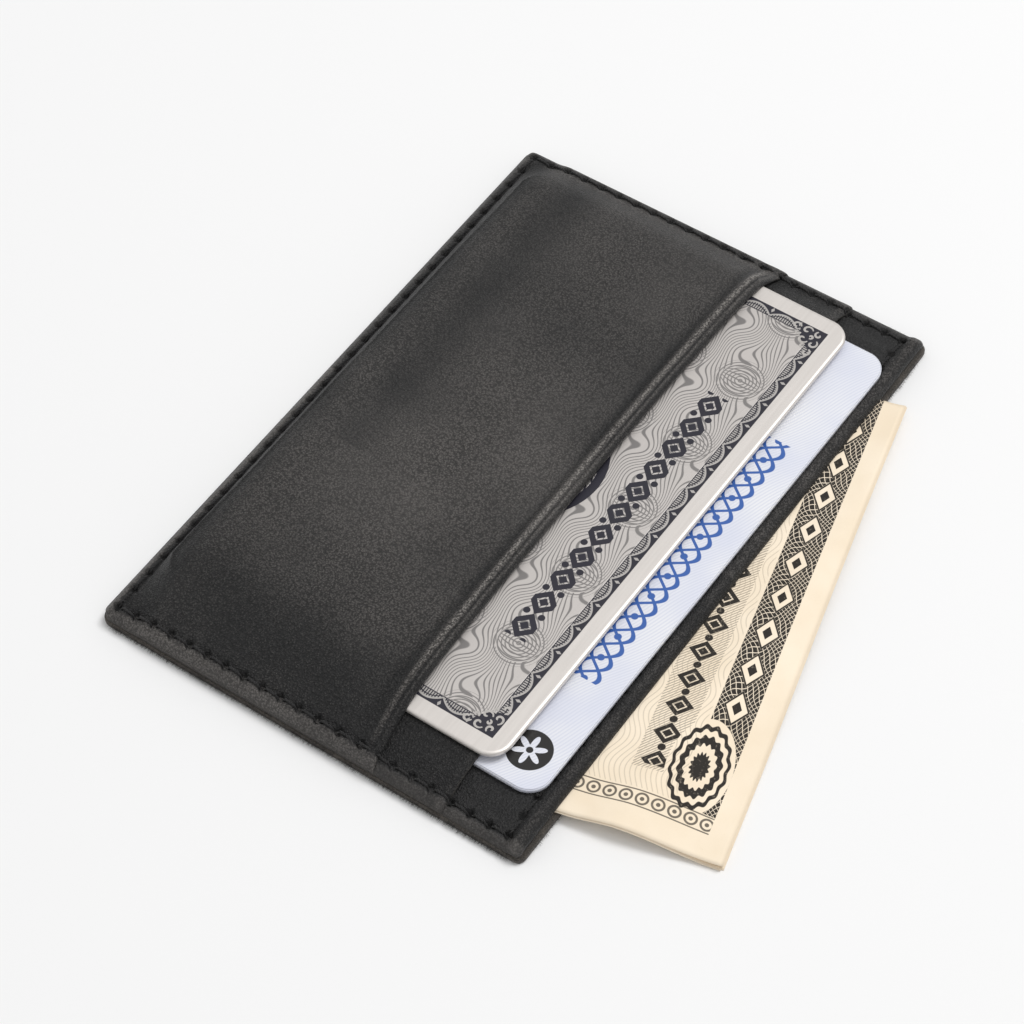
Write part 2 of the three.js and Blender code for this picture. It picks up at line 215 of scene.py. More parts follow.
class Signal:
    """A number in a shader that can be used in sums, products and functions."""

    def __init__(self, tree, socket):
        self.tree = tree
        self.socket = socket

    def feed(self, target, other):
        if isinstance(other, Signal):
            self.tree.links.new(other.socket, target)
        else:
            target.default_value = other

    def math(self, operation, *others):
        node = self.tree.nodes.new("ShaderNodeMath")
        node.operation = operation
        for target, other in zip(node.inputs, (self, *others)):
            self.feed(target, other)
        return Signal(self.tree, node.outputs[0])

    def __add__(self, other):
        return self.math("ADD", other)

    def __sub__(self, other):
        return self.math("SUBTRACT", other)

    def __rsub__(self, other):
        return (self * -1) + other

    def __mul__(self, other):
        return self.math("MULTIPLY", other)

    def __truediv__(self, other):
        return self.math("DIVIDE", other)

    __radd__ = __add__
    __rmul__ = __mul__

    def sine(self, period, phase=0.0):
        return (self * (2 * math.pi / period) + phase).math("SINE")

    def size(self):
        return self.math("ABSOLUTE")

    def least(self, other):
        return self.math("MINIMUM", other)

    def most(self, other):
        return self.math("MAXIMUM", other)

    def below(self, other):
        return self.math("LESS_THAN", other)

    def repeat(self, period):
        """Distance from the nearest multiple of period, with its sign."""
        turns = self * (1 / period) + 0.5
        return (turns - turns.math("FLOOR") - 0.5) * period

    def ramp(self, low, high, soft=True):
        """0 at low, 1 at high."""
        node = self.tree.nodes.new("ShaderNodeMapRange")
        node.interpolation_type = "SMOOTHSTEP" if soft else "LINEAR"
        self.feed(node.inputs["Value"], self)
        node.inputs["From Min"].default_value = low
        node.inputs["From Max"].default_value = high
        return Signal(self.tree, node.outputs["Result"])

    def fall(self, low, high):
        """1 at low, 0 at high."""
        return 1 - self.ramp(low, high)

    def radius(self, other):
        """Length of the arrow with these two coordinates."""
        return (self * self + other * other).math("SQRT")


class Finish:
    """One procedural material. Its coordinates are in millimetres in the piece's own frame."""

    def __init__(self, name):
        self.material = bpy.data.materials.new(name)
        self.material.use_nodes = True
        self.tree = self.material.node_tree
        self.shader = self.tree.nodes["Principled BSDF"]
        place = self.tree.nodes.new("ShaderNodeTexCoord")
        scaled = self.tree.nodes.new("ShaderNodeVectorMath")
        scaled.operation = "SCALE"
        scaled.inputs["Scale"].default_value = 1 / MM
        self.tree.links.new(place.outputs["Object"], scaled.inputs[0])
        self.place = scaled.outputs[0]
        split = self.tree.nodes.new("ShaderNodeSeparateXYZ")
        self.tree.links.new(self.place, split.inputs[0])
        self.x, self.y, self.z = (Signal(self.tree, socket) for socket in split.outputs)

    def stretched(self, factors):
        node = self.tree.nodes.new("ShaderNodeVectorMath")
        node.operation = "MULTIPLY"
        node.inputs[1].default_value = factors
        self.tree.links.new(self.place, node.inputs[0])
        return node.outputs[0]

    def noise(self, size, detail=3.0, roughness=0.5, place=None):
        """Noise from 0 to 1 with features about size mm across."""
        node = self.tree.nodes.new("ShaderNodeTexNoise")
        node.inputs["Scale"].default_value = 1 / size
        node.inputs["Detail"].default_value = detail
        node.inputs["Roughness"].default_value = roughness
        self.tree.links.new(place or self.place, node.inputs["Vector"])
        return Signal(self.tree, node.outputs[0])

    def cells(self, size):
        """Distance to the nearest of scattered points about size mm apart."""
        node = self.tree.nodes.new("ShaderNodeTexVoronoi")
        node.inputs["Scale"].default_value = 1 / size
        self.tree.links.new(self.place, node.inputs["Vector"])
        return Signal(self.tree, node.outputs["Distance"])

    def attribute(self, name):
        node = self.tree.nodes.new("ShaderNodeAttribute")
        node.attribute_name = name
        return Signal(self.tree, node.outputs["Fac"])

    def blend(self, first, second, factor):
        """A colour between two others, each a tuple or a socket."""
        node = self.tree.nodes.new("ShaderNodeMix")
        node.data_type = "RGBA"
        for index, colour in ((6, first), (7, second)):
            if isinstance(colour, tuple):
                node.inputs[index].default_value = (*colour, 1)
            else:
                self.tree.links.new(colour, node.inputs[index])
        self.tree.links.new(factor.socket, node.inputs[0])
        return node.outputs[2]

    def bump(self, height, distance, strength=1.0):
        """Adds a bump whose height is in millimetres times distance."""
        node = self.tree.nodes.new("ShaderNodeBump")
        node.inputs["Distance"].default_value = distance * MM
        node.inputs["Strength"].default_value = strength
        self.tree.links.new(height.socket, node.inputs["Height"])
        normal = self.shader.inputs["Normal"]
        if normal.links:
            self.tree.links.new(normal.links[0].from_socket, node.inputs["Normal"])
        self.tree.links.new(node.outputs[0], normal)

    def set(self, **values):
        """Sets the shader's sockets: numbers and colours directly, signals and sockets by a link."""
        for key, value in values.items():
            target = self.shader.inputs[key.replace("_", " ")]
            if isinstance(value, Signal):
                self.tree.links.new(value.socket, target)
            elif isinstance(value, bpy.types.NodeSocket):
                self.tree.links.new(value, target)
            else:
                target.default_value = (*value, 1) if isinstance(value, tuple) else value
        return self


def leather_finish():
    """Smooth-grain leather. The piece's attributes say where it is rubbed lighter, where painted
    highlights and painted shade lie, and where it is pebbled, cut through or pierced."""
    f = Finish("charcoal_leather")
    wear = f.attribute("wear")
    crease = f.attribute("crease")
    cut = f.attribute("cut")
    hole = f.attribute("hole")

    clouds = f.noise(8.0, 4.0, 0.6)
    mottle = f.noise(0.9, 4.0, 0.7)
    pores = f.cells(0.31)
    fine_pores = f.cells(0.17)
    rubbed = f.noise(0.15, 2.0, 0.6)
    crowns = (1 - pores * 1.5) * 0.6 + (1 - fine_pores * 1.5) * 0.4 + (rubbed - 0.5) * 0.9

    tone = wear + (clouds - 0.5) * 0.34 + (mottle - 0.5) * 0.34
    low = f.blend((0.0022, 0.0022, 0.0024), (0.027, 0.0245, 0.0228), tone.ramp(0.0, 1.0, soft=False))
    high = f.blend((0.0180, 0.0175, 0.0175), (0.140, 0.129, 0.121), tone.ramp(0.0, 1.0, soft=False))
    # Above 1 the colour climbs to a pale grey, reached by the painted highlight on the outer lip's crest
    # and by the most rubbed outer margins.
    high = f.blend(high, (0.30, 0.28, 0.26), tone.ramp(1.0, 2.0, soft=False))
    grain = (crowns.ramp(0.06, 0.60, soft=False) - 0.45) * (crease * 1.1 + 0.5) + 0.45
    skin = f.blend(low, high, grain)
    skin = f.blend(skin, (0.15, 0.14, 0.13), crowns.ramp(0.50, 0.68) * crease * 0.30)
    fibre = f.noise(0.22, 3.0, 0.7)
    core = f.blend((0.016, 0.015, 0.014), (0.10, 0.09, 0.08), fibre.ramp(0.3, 0.75))
    skin = f.blend(skin, core, cut)
    f.set(
        # The stitch holes are painted near black: painted shade in the holes.
        Base_Color=f.blend(skin, (0.0025, 0.0025, 0.0025), hole),
        Roughness=mottle * 0.25 + 0.40 + cut * 0.25 + hole * 0.3,
        Specular_IOR_Level=0.42,
        Sheen_Weight=0.04,
        Sheen_Roughness=0.4,
    )
    f.bump(crowns * (crease * 1.0 + 0.5), 0.16, 0.9)
    f.bump(mottle, 0.10, 0.4)
    f.bump(fibre * cut, 0.25, 0.8)
    return f.material


def flesh_finish():
    """The napped, speckled flesh side and edges of the back panel."""
    f = Finish("napped_leather")
    cut = f.attribute("cut")
    wear = f.attribute("wear")
    fibre = f.noise(0.2, 4.0, 0.7)
    patch = f.noise(2.6, 3.0, 0.6)
    grain = f.cells(0.4)
    rubbed = (patch * 0.6 + wear * 0.6).ramp(0.1, 1.0)
    smooth_side = f.blend((0.020, 0.0195, 0.019), (0.060, 0.057, 0.053), rubbed)
    core = f.blend((0.016, 0.014, 0.012), (0.15, 0.13, 0.11), (fibre * 0.8 + patch * 0.25).ramp(0.35, 0.8))
    f.set(
        Base_Color=f.blend(smooth_side, core, cut),
        Roughness=0.55 + cut * 0.3,
        Specular_IOR_Level=0.35,
        Sheen_Weight=0.12,
        Sheen_Roughness=0.5,
    )
    f.bump(grain * -1.0, 0.07, 0.6)
    f.bump(fibre, 0.16, 0.8)
    return f.material


def thread_finish():
    f = Finish("waxed_thread")
    fuzz = f.noise(0.12, 3.0, 0.7)
    f.set(
        Base_Color=f.blend((0.004, 0.004, 0.0045), (0.048, 0.046, 0.045), fuzz.ramp(0.35, 0.8)),
        Roughness=0.62,
        Specular_IOR_Level=0.3,
        Sheen_Weight=0.15,
    )
    f.bump(fuzz, 0.05, 0.7)
    return f.material


def edge_distances(f, size):
    """Distances inside a card's long and short edges, and the distance along the nearer one."""
    from_side = size[0] / 2 - f.x.size()
    from_end = size[1] / 2 - f.y.size()
    nearer = from_side.below(from_end)
    along = f.y * nearer + f.x * (1 - nearer)
    return from_side, from_end, along


METAL_MARGIN = 2.6  # plain border
METAL_BAND = 1.75  # ornamental band inside it


def metal_finish():
    """Brushed card with a printed ornamental band, fine line work and a medallion."""
    f = Finish("satin_card_metal")
    from_side, from_end, along = edge_distances(f, CARD_SIZE)
    inset = from_side.least(from_end)

    # Band: lace swags on a dark ground.
    depth = (inset - METAL_MARGIN) / METAL_BAND
    in_band = depth.ramp(-0.02, 0.02) * depth.fall(0.98, 1.02)
    wave = (along.repeat(4.5) * (2 / 4.5)).size()
    swag = depth - 0.16 - wave * wave * 0.62
    lace = swag.ramp(0.0, 0.05) * depth.fall(0.88, 0.94)
    hatch = along.repeat(0.36).size().ramp(0.05, 0.11)
    outline = (swag - 0.10).size().fall(0.06, 0.10)
    arch = (swag - 0.34).size().fall(0.03, 0.07)
    drop = (along + 2.25).repeat(4.5).size() * 1.6 + (depth - 0.30).size() * 1.5
    ornament = (lace * hatch * (1 - arch)).most(outline).most(drop.fall(0.34, 0.44))

    # Ground: waves of fine lines round globes.
    cell_x, cell_y = f.x.repeat(13.2), f.y.repeat(9.4)
    radius = cell_x.radius(cell_y)
    globe = radius.fall(2.95, 3.0)
    swell = f.x.sine(13.2) * f.y.sine(9.4, 0.8) * 1.5 + f.x.sine(6.6, 0.5) * 0.35
    waves = (f.y + swell).repeat(0.60).size()
    width = (9.2 - cell_y * cell_y).most(0.2).math("SQRT")
    meridians = (cell_x / width).repeat(0.27).size() * 2.2
    rings = (radius - 3.25).repeat(0.5).size() + radius.ramp(3.7, 3.72) * 9
    field = (waves * (1 - globe) + meridians * globe).least(rings)
    lines = field.fall(0.05, 0.12)

    # A row of lozenges and pairs of dots, and an oval medallion.
    row_x, row_y = f.x - 1.7, f.y - 17.8
    in_row = 1 - (row_x.size() - 24.2).most(row_y.size() - 1.7).ramp(-0.03, 0.03)
    lozenge = row_x.repeat(4.4).size() + row_y.size()
    hollow = (lozenge - 0.9).size().ramp(0.14, 0.19)
    link_x = (row_x + 2.2).repeat(4.4)
    pair = link_x.radius(row_y.size() - 1.16)
    marks = (lozenge.fall(2.18, 2.24) * hollow).most(pair.fall(0.46, 0.52)) * in_row
    oval = ((f.x / 11.6).math("POWER", 2.0) + (f.y / 13.1).math("POWER", 2.0)).math("SQRT")
    angle = f.y.math("ARCTAN2", f.x)
    petals = (angle * 12.0).math("SINE") * 0.06
    rosette = (oval + petals).repeat(0.085).size().ramp(0.006, 0.02)
    in_oval = oval.fall(0.998, 1.002)
    ring = oval.ramp(0.90, 0.905)
    motif = in_oval * ring.most(1 - rosette)

    satin = f.noise(1.2, 3.0, 0.6, f.stretched((0.12, 3.0, 1.0)))
    ground = f.blend((0.66, 0.62, 0.585), (0.76, 0.72, 0.685), satin)
    inside = depth.ramp(1.0, 1.02)
    ground = f.blend(ground, (0.60, 0.565, 0.54), inside)
    ground = f.blend(ground, (0.12, 0.115, 0.115), lines * inside * 0.75)
    corner_x, corner_y = (from_side - METAL_MARGIN).most(0.0), (from_end - METAL_MARGIN).most(0.0)
    corner = corner_x.radius(corner_y)
    in_corner = corner.fall(3.9, 3.95) * inset.ramp(METAL_MARGIN - 0.02, METAL_MARGIN + 0.02)
    ornament = ornament * (1 - in_corner)
    dark = in_band.most(marks).most(motif).most(in_corner)
    inked = f.blend(ground, (0.018, 0.017, 0.028), dark)
    ivory = f.blend((0.36, 0.345, 0.33), (0.52, 0.49, 0.465), satin)
    f.set(
        Base_Color=f.blend(inked, ivory, in_band * ornament),
        Metallic=0.55 - dark * 0.4,
        Roughness=satin * 0.1 + 0.40 - inset.ramp(0.0, 0.35) * 0.02,
    )
    f.bump(satin, 0.01, 0.4)
    f.bump(1 - dark, 0.03, 0.5)
    return f.material


def scroll_finish():
    f = Finish("card_scroll_ink")
    speck = f.noise(0.3, 2.0)
    f.set(
        Base_Color=f.blend((0.40, 0.38, 0.36), (0.58, 0.55, 0.52), speck),
        Metallic=0.4,
        Roughness=0.45,
    )
    return f.material


BADGE = (37.3, 22.2)  # from the identity card's centre


def identity_finish():
    """Laminated plastic card: pale blue ground of fine slanting lines, a blue ornament and a badge."""
    f = Finish("laminated_card")
    slant = f.x * 0.42 + f.y * 0.91
    fine = (slant + f.x.sine(21.0) * 0.5).repeat(0.42).size().ramp(0.02, 0.16)
    clouds = f.noise(11.0, 2.0)
    ground = f.blend((0.72, 0.74, 0.84), (0.84, 0.845, 0.87), clouds.ramp(0.3, 0.7))
    ground = f.blend(ground, (0.62, 0.65, 0.76), (1 - fine) * 0.55)

    # Three braided waves and a row of dots in blue.
    row_x, row_y = f.x - 1.0, f.y - 21.7
    in_row = row_x.size().fall(23.4, 23.5)
    braid = None
    for phase in (0.0, 2.1, 4.2):
        strand = (row_y - row_x.sine(7.8, phase) * 1.75).size() - 0.33
        braid = strand if braid is None else braid.least(strand)
    dots_x = row_x.repeat(3.9)
    dots = dots_x.radius(row_y) - 0.5
    blue = (1 - braid.least(dots).ramp(-0.05, 0.08)) * in_row
    ground = f.blend(ground, (0.035, 0.115, 0.40), blue)

    # A dark round badge with six petals.
    badge_x, badge_y = f.x - BADGE[0], f.y - BADGE[1]
    distance = badge_x.radius(badge_y)
    angle = badge_y.math("ARCTAN2", badge_x)
    petal = 1.55 + (angle * 6.0).math("COSINE") * 0.75
    light = (distance - petal).fall(-0.04, 0.04) * distance.ramp(0.44, 0.5)
    disc = distance.fall(3.02, 3.1) * (1 - light)
    ground = f.blend(ground, (0.010, 0.009, 0.008), disc)
    f.set(
        Base_Color=ground,
        Roughness=0.36,
        Specular_IOR_Level=0.5,
        Coat_Weight=0.12,
        Coat_Roughness=0.15,
    )
    f.bump(f.noise(2.2, 2.0), 0.02, 0.3)
    return f.material


def note_finish():
    """Cream paper with dark engraved bands, lattices and rosettes."""
    f = Finish("printed_note")
    half_x, half_y = NOTE_SIZE[0] / 2, NOTE_SIZE[1] / 2
    from_end = half_x - NOTE_SHORT - f.x
    from_edge = half_y - f.y
    fibre = f.noise(0.35, 4.0, 0.7)
    stain = f.noise(14.0, 3.0, 0.6)
    paper = f.blend((0.90, 0.765, 0.585), (0.97, 0.845, 0.675), stain.ramp(0.3, 0.7))
    paper = f.blend(paper, (0.80, 0.66, 0.47), fibre.ramp(0.55, 0.85) * 0.35)

    # Engraved band along the free edge: a lattice of light lines on black.
    depth = from_edge - 3.0
    in_band = depth.ramp(0.0, 0.08) * depth.fall(5.1, 5.2) * from_end.ramp(6.2, 6.3)
    lattice_a = (f.x * 0.8 + f.y + f.y.sine(4.1) * 0.5).repeat(0.78).size()
    lattice_b = (f.x * 0.8 - f.y + f.x.sine(5.3) * 0.4).repeat(0.78).size()
    lattice = lattice_a.least(lattice_b).ramp(0.02, 0.075)
    chain_x = (f.x + 2.0).repeat(6.1)
    chain = chain_x.size() * 0.60 + (depth - 2.6).size() * 0.95
    lozenges = chain.fall(1.35, 1.42) * chain.ramp(0.62, 0.68)
    halo = chain.fall(1.62, 1.7)
    band = (lattice * (1 - halo)).most(halo * (1 - lozenges)) * in_band

    # Bold row of lozenges further in.
    row_y = from_edge - 12.6
    link = f.x.repeat(4.6).size() * 0.62 + row_y.size() * 0.55
    links = link.fall(1.05, 1.1) * (link - 0.5).size().ramp(0.06, 0.1)
    post_x = (f.x + 2.3).repeat(4.6)
    posts = post_x.radius(row_y).fall(0.5, 0.58)
    in_row = row_y.size().fall(1.95, 2.05) * from_end.ramp(10.0, 10.2)
    scroll = links.most(posts) * in_row
    shade = (f.x + f.y).repeat(0.5).size().ramp(0.06, 0.14)
    in_shade = row_y.size().fall(2.7, 2.8) * from_end.ramp(9.4, 9.6)
    scroll = scroll.most((1 - shade) * in_shade * 0.55)

    # A ringed oval at the corner, where a value would be.
    oval_x, oval_y = (from_end - 12.2) / 6.4, (from_edge - 7.2) / 3.7
    oval = oval_x.radius(oval_y)
    angle = oval_y.math("ARCTAN2", oval_x)
    wavy = oval + (angle * 16.0).math("SINE") * 0.035
    rings = (wavy - 0.92).size().fall(0.05, 0.07).most((wavy - 0.62).size().fall(0.09, 0.11))
    core = wavy.fall(0.30, 0.33)
    in_oval = oval.fall(1.12, 1.14)
    rosette = rings.most(core) * in_oval
    band = band * (1 - in_oval)
    scroll = scroll * (1 - in_oval)

    # Beads along the short end, and fine lines over the middle.
    bead_y = f.y.repeat(2.15)
    bead_x = from_end - 4.9
    bead = bead_x.radius(bead_y)
    beads = (bead - 0.78).size().fall(0.1, 0.2).most((bead - 0.25).fall(0.0, 0.08))
    rails = (bead_x.size() - 1.15).size().fall(0.05, 0.14)
    border = (beads * bead_x.size().fall(1.0, 1.1)).most(rails) * from_edge.ramp(3.0, 3.1)
    fine = (1 - (f.y + f.x.sine(9.0) * 0.8).repeat(0.7).size().ramp(0.03, 0.12)) * 0.25
    fine = fine * from_edge.ramp(8.4, 8.6) * from_end.ramp(6.3, 6.5)

    ink = band.most(scroll).most(rosette).most(border * 0.85).most(fine)
    worn = f.noise(0.5, 3.0, 0.7).ramp(0.2, 0.45) * 0.3 + 0.7
    face = f.attribute("face")
    edge = f.attribute("cut")
    paper = f.blend(paper, (0.86, 0.72, 0.54), edge * 0.5)
    f.set(
        Base_Color=f.blend(paper, (0.030, 0.026, 0.022), ink * worn * face),
        Roughness=0.82,
        Specular_IOR_Level=0.25,
        Sheen_Weight=0.05,
    )
    f.bump(fibre, 0.03, 0.5)
    f.bump(f.noise(3.0, 3.0), 0.12, 0.35)
    return f.material


# ---------------------------------------------------------------- leather sheets

EDGE_LINES = np.array([0, 0.03, 0.09, 0.18, 0.3, 0.45, 0.7, 1.0, 1.3, 1.6])
LIP_LINES = np.array(
    [2.0, 1.8, 1.6, 1.4, 1.25, 1.12, 1.0, 0.88, 0.75, 0.58, 0.42, 0.27, 0.15, 0.06, 0.015, 0]
)
STEPS_PER_STITCH = 12


def lines_across():
    """Columns with twelve steps to a stitch between the side rows, and close lines at the edges."""
    middle = np.linspace(-ROW_X, ROW_X, STITCHES_ALONG * STEPS_PER_STITCH + 1)
    return np.concatenate([EDGE_LINES - HALF_WIDTH, middle, HALF_WIDTH - EDGE_LINES[::-1]])


def lines_up(low, high, near_low, near_high, coarse_below=None):
    """Rows in step with the side stitches, with close lines near both ends. Below coarse_below only
    one line in four is kept."""
    step = PITCH_UP / STEPS_PER_STITCH
    first = math.ceil((low + near_low.max() - ROW_BASE) / step + 0.3)
    last = math.floor((high - near_high.max() - ROW_BASE) / step - 0.3)
    middle = [
        ROW_BASE + k * step
        for k in range(first, last + 1)
        if coarse_below is None or ROW_BASE + k * step > coarse_below or k % 4 == 0
    ]
    return np.concatenate([low + near_low, middle, high - near_high])


def round_corners(low, high, base_radius=BASE_CORNER, head_radius=HEAD_CORNER, inset=0.0):
    """Bends a rectangle's grid onto quarter discs at its corners, and may draw its margin in."""
    def place(u, v):
        top = v > (low + high) / 2
        radius = np.where(top, head_radius, base_radius)
        corner_x = np.sign(u) * (HALF_WIDTH - radius)
        corner_y = np.where(top, high - radius, low + radius)
        s, t = (u - corner_x) / radius, (v - corner_y) / radius
        bent = (s * np.sign(u) > 0) & (t * np.where(top, 1, -1) > 0)
        x = np.where(bent, corner_x + radius * s * np.sqrt(np.maximum(1 - t * t / 2, 0)), u)
        y = np.where(bent, corner_y + radius * t * np.sqrt(np.maximum(1 - s * s / 2, 0)), v)
        x = x - np.sign(u) * inset * (1 - between(side_inset(u), 0, 1.4))
        y = y + inset * (1 - between(v - low, 0, 1.4))
        return x, y
    return place


def coarse_faces(across, up, step):
    """Large cells over a fine grid that share every fine point of its rim."""
    columns = sorted({*range(0, across, step), across - 1})
    rows = sorted({*range(0, up, step), up - 1})
    faces = []
    for c, d in zip(rows, rows[1:]):
        for a, b in zip(columns, columns[1:]):
            lower = range(a, b) if c == 0 else [a]
            right = range(c, d) if b == across - 1 else [c]
            upper = range(b, a, -1) if d == up - 1 else [b]
            left = range(d, c, -1) if a == 0 else [d]
            faces.append(
                [c * across + i for i in lower]
                + [j * across + b for j in right]
                + [d * across + i for i in upper]
                + [j * across + a for j in left]
            )
    return faces


def fine_faces(across, up):
    a = (np.arange(up - 1)[:, None] * across + np.arange(across - 1)).ravel()
    return np.stack([a, a + 1, a + 1 + across, a + across], 1).tolist()


def rim_faces(across, up):
    """Side walls between an upper grid of points and a lower one that follows it."""
    layer = up * across
    rim = (
        list(range(across - 1))
        + [j * across + across - 1 for j in range(up - 1)]
        + [(up - 1) * across + i for i in range(across - 1, 0, -1)]
        + [j * across for j in range(up - 1, 0, -1)]
    )
    return [[layer + a, layer + b, b, a] for a, b in zip(rim, rim[1:] + rim[:1])]


def underside(faces, layer):
    """The faces turned over and moved to the lower grid of points."""
    return [[layer + k for k in reversed(face)] for face in faces]


def sheet(name, columns, rows, place, top, bottom, attributes, material, fine_top=True):
    """A closed sheet of leather. top and bottom give heights at grid points u, v that lie at x, y."""
    u, v = np.meshgrid(columns, rows)
    x, y = place(u, v)
    up, across = u.shape
    layer = up * across
    upper, lower = top(u, v, x, y), bottom(u, v, x, y)
    lower = np.minimum(lower, upper - 0.12)
    heights = np.r_[upper.ravel(), lower.ravel()]
    vertices = np.stack([np.tile(x.ravel(), 2), np.tile(y.ravel(), 2), heights], 1)

    detailed = fine_faces(across, up)
    plain = coarse_faces(across, up, 6)
    top_faces, bottom_faces = (detailed, plain) if fine_top else (plain, detailed)
    faces = top_faces + underside(bottom_faces, layer) + rim_faces(across, up)

    used = np.unique(np.concatenate([np.asarray(face) for face in faces]))
    renumber = np.full(2 * layer, -1)
    renumber[used] = np.arange(len(used))
    faces = [renumber[face].tolist() for face in faces]
    piece = mesh_object(name, vertices[used], faces, material, "holder")
    for key, values in attributes(u, v, x, y).items():
        pair = values if isinstance(values, tuple) else (values, values)
        both = np.r_[np.broadcast_to(pair[0], u.shape).ravel(), np.broadcast_to(pair[1], u.shape).ravel()]
        give_attribute(piece, key, both[used])
    return piece


def side_inset(u):
    return HALF_WIDTH - np.abs(u)


def base_inset(v):
    return v - BASE


def burnished(inset):
    """1 on the rubbed outer margin, 0 inside the stitches."""
    return 1 - between(inset, 1.1, 1.9)


def worn_edge(distance, radius):
    """How far a rounded edge has fallen at this distance inside it."""
    t = 1 - np.clip(distance / radius, 0, 1)
    return radius * (1 - np.sqrt(1 - t * t))


def row_marks(across, along, pitch):
    """The groove under a row of stitches, and the holes along it, from 0 to 1."""
    to_hole = (along / pitch - np.round(along / pitch)) * pitch
    reach = np.abs(across) * 1.1 + np.abs(to_hole) * 0.9
    return bell(across, 0.42), 1 - between(reach, HOLE * 0.62, HOLE * 1.15)


def seam_marks(u, v):
    """Groove and holes of the U-shaped seam."""
    side_groove, side_holes = row_marks(side_inset(u) - SEAM_INSET, v - ROW_BASE, PITCH_UP)
    on_side = (v > ROW_BASE - 0.7) & (v < ROW_HEAD + 0.6)
    base_groove, base_holes = row_marks(base_inset(v) - SEAM_INSET, u + ROW_X, PITCH_ALONG)
    on_base = np.abs(u) < ROW_X + 0.7
    groove = np.maximum(side_groove * on_side, base_groove * on_base)
    return groove, np.maximum(side_holes * on_side, base_holes * on_base)


def puckers(across, along, pitch):
    """Folds that stand up on both sides of a row, highest halfway between holes."""
    beat = 0.5 - 0.5 * np.cos(2 * math.pi * along / pitch)
    side = np.where(across > 0, 1.0, 0.35)
    return bell(np.abs(across) - 0.85, 0.42) * (0.35 + 0.65 * beat) * side


def seam_cut(u, v):
    """Depth of the seam's groove and holes. The leather stands a little proud between the holes."""
    groove, holes = seam_marks(u, v)
    side = puckers(side_inset(u) - SEAM_INSET, v - ROW_BASE, PITCH_UP) * (base_inset(v) > SEAM_INSET)
    base = puckers(base_inset(v) - SEAM_INSET, u + ROW_X, PITCH_ALONG) * (side_inset(u) > SEAM_INSET)
    return 0.06 * groove + 0.75 * holes**1.6 - 0.13 * np.maximum(side, base)


def pressed(z, u, v):
    """Plies are squeezed thinner towards the outer edge of the seam."""
    inset = soft_min(side_inset(u), base_inset(v), 0.25)
    squeeze = 0.52 + 0.48 * between(inset, -0.2, 1.75)
    return BACK_TOP + (z - BACK_TOP) * squeeze


def rise_over(centre, u, v, x, y, start):
    """0 on the seam and 1 over a card, smooth between the seam and the card's outline."""
    from_seam = np.maximum(soft_min(side_inset(u), base_inset(v), 0.8) - start, 0)
    from_card = np.maximum(card_outside(centre, x, y), 0)
    return from_seam / (from_seam + from_card + 1e-6)


def gentle(x, y, seed):
    """Slow unevenness of handled leather."""
    return 0.05 * value_noise(x, y, 9.0, seed) + 0.02 * value_noise(x, y, 3.1, seed + 1)


# Back panel.

def make_back_panel(material):
    place = round_corners(BASE, BACK_HEAD, head_radius=1.3)

    def edge_distance(u, v):
        return np.minimum(np.minimum(side_inset(u), base_inset(v)), BACK_HEAD - v)

    def top(u, v, x, y):
        return BACK_TOP - worn_edge(edge_distance(u, v), 0.36) + 0 * u

    def bottom(u, v, x, y):
        groove, holes = seam_marks(u, v)
        return worn_edge(edge_distance(u, v), 0.42) + 0.26 * groove + 0.35 * holes

    def attributes(u, v, x, y):
        edge = 1 - between(edge_distance(u, v), 0.05, 0.3)
        wear = 0.35 + 0.4 * value_noise(x, y, 12.0, 31) + 0.5 * bell(edge_distance(u, v) - 0.5, 0.7)
        return {"cut": (np.maximum(edge, 0.35 * (v > HEAD - 1)), edge), "wear": np.clip(wear, 0, 1)}

    rows = lines_up(BASE, BACK_HEAD, EDGE_LINES, EDGE_LINES[::-1])
    piece = sheet("back_leather", lines_across(), rows, place, top, bottom, attributes, material,
                  fine_top=False)
    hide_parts("back_panel")


# Front panel.

HEAD_NOSE = 0.72  # radius of the turned head edge
SHOULDER = (2.6, 5.6)  # side and base insets between which the front rises from the seam


def front_rise(u, v):
    return between(side_inset(u), *SHOULDER) * between(base_inset(v), *SHOULDER)


def front_bottom(u, v, x, y):
    under = FRONT_SEAM + (FRONT_OPEN - FRONT_SEAM) * front_rise(u, v)
    lift = worn_edge(HEAD - v, HEAD_NOSE)
    seam_edge = worn_edge(np.minimum(side_inset(u), base_inset(v)), 0.25)
    return pressed(under, u, v) + np.maximum(lift * 0.9, seam_edge)


def front_top(u, v, x, y):
    under = FRONT_SEAM + (FRONT_OPEN - FRONT_SEAM) * front_rise(u, v)
    ply = FRONT_SEAM_PLY + (FRONT_PLY - FRONT_SEAM_PLY) * front_rise(u, v)
    from_head = HEAD - v
    turned = 1 - between(from_head, 1.5, 2.7)
    crest = FRONT_OPEN + FRONT_PLY + 0.10 * bell(from_head - 1.35, 0.8)
    z = (under + ply) * (1 - turned) + crest * turned
    groove, holes = row_marks(from_head - HEAD_ROW_INSET, u + ROW_X, PITCH_ALONG)
    in_head_row = between(side_inset(u), SEAM_INSET - 0.4, SEAM_INSET + 0.2)
    z = z - (0.34 * bell(from_head - HEAD_ROW_INSET + 0.15, 0.55) * groove + 0.4 * holes) * in_head_row
    uncovered = between(v, INNER_MOUTH - 0.3, INNER_MOUTH)
    z = z - seam_cut(u, v) * uncovered * (v < ROW_HEAD + 0.5)
    z = pressed(z, u, v) + gentle(x, y, 7) * uncovered * between(side_inset(u), 2.5, 5)
    z = soft_min(z, identity_low[2] - CARD_AIR, 0.02)
    return z - worn_edge(from_head, HEAD_NOSE) - worn_edge(side_inset(u), ROLL * 0.9)


